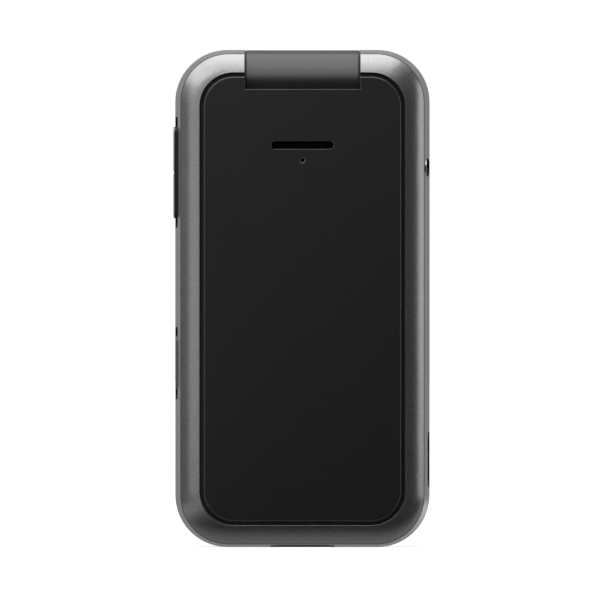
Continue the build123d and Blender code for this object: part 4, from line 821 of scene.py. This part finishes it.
WHITE = (1.0, 1.0, 1.0, 1.0)

# Brightness of the room, and where along a direction's coordinate each part begins and is full
ROOM_TOP, ROOM_LEFT, ROOM_FRONT, ROOM_BACK, ROOM_MIRRORED = 0.8, 0.26, 0.025, 0.35, 0.2
OVERHEAD, LEFT_WALL, BACKDROP, BEHIND = (0.5, 1.0), (-0.5, -1.0), (-0.1, 0.95), (0.3, 1.0)

FLOOR_REACH = 6.0
FLOOR_SHADE, FLOOR_DIM, FLOOR_SEEN, FLOOR_PAINTED_REFLECTION, FLOOR_RIGHT = 0.5, 0.02, 0.75, 0.4, 0.95

# Where the floor's glow begins and is full, in metres: along the depth, at either side of the phone, at the
# far ends of either side, and out to the backdrop. At the right it begins farther forward by a slope.
# Under and beside the phone the glow is seen only by glossy rays and is a painted reflection.
GLOW_DEPTH = -0.0165, -0.003
GLOW_RIGHT, GLOW_LEFT = (0.015, 0.055), (-0.025, -0.045)
GLOW_END_RIGHT, GLOW_END_LEFT = (0.12, 0.07), (-0.10, -0.05)
GLOW_FAR = 0.1, 0.6
SLOPE_FROM, SLOPE = 0.026, 0.2


def ramp(tree, value, start, end, low_value, high_value):
    """Smooth step from one value to another as a coordinate goes from start to end."""
    return put(tree, "MapRange", {"Value": value, "From Min": start, "From Max": end, "To Min": low_value,
                                  "To Max": high_value}, interpolation_type="SMOOTHSTEP").outputs[0]


def world_light():
    """Soft room: bright overhead, paler behind than in front, and a white backdrop behind the phone."""
    world = bpy.data.worlds.new("room")
    world.use_nodes = True
    bpy.context.scene.world = world
    tree = world.node_tree
    way = put(tree, "SeparateXYZ", {0: put(tree, "TexCoord").outputs["Generated"]}).outputs
    overhead = ramp(tree, way["Z"], *OVERHEAD, 0.0, ROOM_TOP)
    left_wall = ramp(tree, way["X"], *LEFT_WALL, 0.0, ROOM_LEFT)
    backdrop = ramp(tree, way["Y"], *BACKDROP, ROOM_FRONT, ROOM_BACK)
    room = maths(tree, "ADD", maths(tree, "ADD", overhead, left_wall), backdrop)
    path = put(tree, "LightPath").outputs
    seen = maths(tree, "MAXIMUM", path["Is Camera Ray"], path["Is Transmission Ray"])
    behind = ramp(tree, way["Y"], *BEHIND, 0.0, ROOM_MIRRORED)
    seen = maths(tree, "MAXIMUM", seen, maths(tree, "MULTIPLY", path["Is Glossy Ray"], behind))
    level = maths(tree, "ADD", maths(tree, "MULTIPLY", room, maths(tree, "SUBTRACT", 1.0, seen)), seen)
    background = tree.nodes["Background"]
    tree.links.new(level, background.inputs["Strength"])
    background.inputs["Color"].default_value = WHITE


def floor():
    """Plain pale floor; the camera sees it near white, with the phone's shadow. Glossy rays see painted
    light: a glow under and behind the phone, a painted reflection of the soft boxes at the sides, and painted
    shade in front."""
    mesh = bpy.data.meshes.new("floor")
    corners = [(x * FLOOR_REACH, y * FLOOR_REACH, 0) for x, y in ((-1, -1), (1, -1), (1, 1), (-1, 1))]
    mesh.from_pydata(corners, [], [(0, 1, 2, 3)])
    plane = bpy.data.objects.new("floor", mesh)
    bpy.context.collection.objects.link(plane)
    material = bpy.data.materials.new("pale_floor")
    material.use_nodes = True
    tree = material.node_tree
    path, place = put(tree, "LightPath").outputs, put(tree, "TexCoord").outputs["Object"]
    way = put(tree, "SeparateXYZ", {0: place}).outputs
    aside = maths(tree, "MAXIMUM", maths(tree, "SUBTRACT", way["X"], SLOPE_FROM), 0.0)
    forward = maths(tree, "ADD", way["Y"], maths(tree, "MULTIPLY", aside, SLOPE))
    under = ramp(tree, way["Y"], *GLOW_DEPTH, 0.0, FLOOR_PAINTED_REFLECTION)
    right = maths(tree, "MULTIPLY", ramp(tree, forward, *GLOW_DEPTH, 0.0, 1.0),
                  ramp(tree, way["X"], *GLOW_RIGHT, FLOOR_PAINTED_REFLECTION, FLOOR_RIGHT))
    left = ramp(tree, way["X"], *GLOW_LEFT, 0.0, FLOOR_PAINTED_REFLECTION)
    near = maths(tree, "MULTIPLY", ramp(tree, way["X"], *GLOW_END_RIGHT, 0.0, 1.0),
                 ramp(tree, way["X"], *GLOW_END_LEFT, 0.0, 1.0))
    sides = maths(tree, "MULTIPLY", maths(tree, "MAXIMUM", right, left), near)
    # Painted reflection: glossy rays see the floor glow under and behind the phone and at its sides.
    glow = maths(tree, "MULTIPLY", path["Is Glossy Ray"], maths(tree, "MAXIMUM", under, sides))
    away = vector_maths(tree, "LENGTH", place, result="Value")
    seen = maths(tree, "MAXIMUM", path["Is Camera Ray"], path["Is Transmission Ray"])
    pale = maths(tree, "MULTIPLY", seen, ramp(tree, away, *GLOW_FAR, FLOOR_SEEN, 1.0))
    glow = maths(tree, "ADD", glow, pale)
    # For glossy rays the floor's colour is dimmed to near black, a painted shade in its reflection.
    dimmed = maths(tree, "MULTIPLY", path["Is Glossy Ray"], FLOOR_SHADE - FLOOR_DIM)
    shade = maths(tree, "SUBTRACT", FLOOR_SHADE, dimmed)
    shader = tree.nodes["Principled BSDF"]
    connect(tree, shader, {"Base Color": shade, "Roughness": 0.9, "Specular IOR Level": 0.0,
                           "Emission Color": WHITE, "Emission Strength": glow})
    mesh.materials.append(material)


def camera():
    """Straight on at the battery side from far away, framed as the photograph is."""
    data = bpy.data.cameras.new("camera")
    data.sensor_width = SENSOR
    data.lens = SENSOR * (CAMERA_DISTANCE + Y_BACK) / (PHOTO_PIXELS * PHOTO_SCALE)
    data.clip_start, data.clip_end = CAMERA_CLIP
    made = bpy.data.objects.new("camera", data)
    bpy.context.collection.objects.link(made)
    made.location = (PHOTO_CENTRE[0], -CAMERA_DISTANCE, PHOTO_CENTRE[1])
    made.rotation_euler = (math.radians(90), 0, 0)
    bpy.context.scene.camera = made


world_light()
floor()
camera()

# Soft boxes: place, target, width and height, brightness
SOFT_BOXES = {
    "top_soft_box": ((-0.08, -0.02, 0.21), (-0.08, -0.02, 0.0), (0.32, 0.16), 1.6),
    "front_soft_box": ((-0.08, -0.175, 0.21), (-0.08, -0.175, 0.0), (0.32, 0.15), 1.45),
    "left_soft_box": ((-0.13, -0.15, 0.12), (0.0, 0.0, 0.12), (0.11, 0.23), 0.58),
    "right_rim_box": ((0.28, -0.075, 0.075), (0.0, 0.0, 0.075), (0.13, 0.30), 1.15),
}
for name, lamp in SOFT_BOXES.items():
    area_lamp(name, *lamp)
bpy.context.scene.view_settings.view_transform = "Standard"
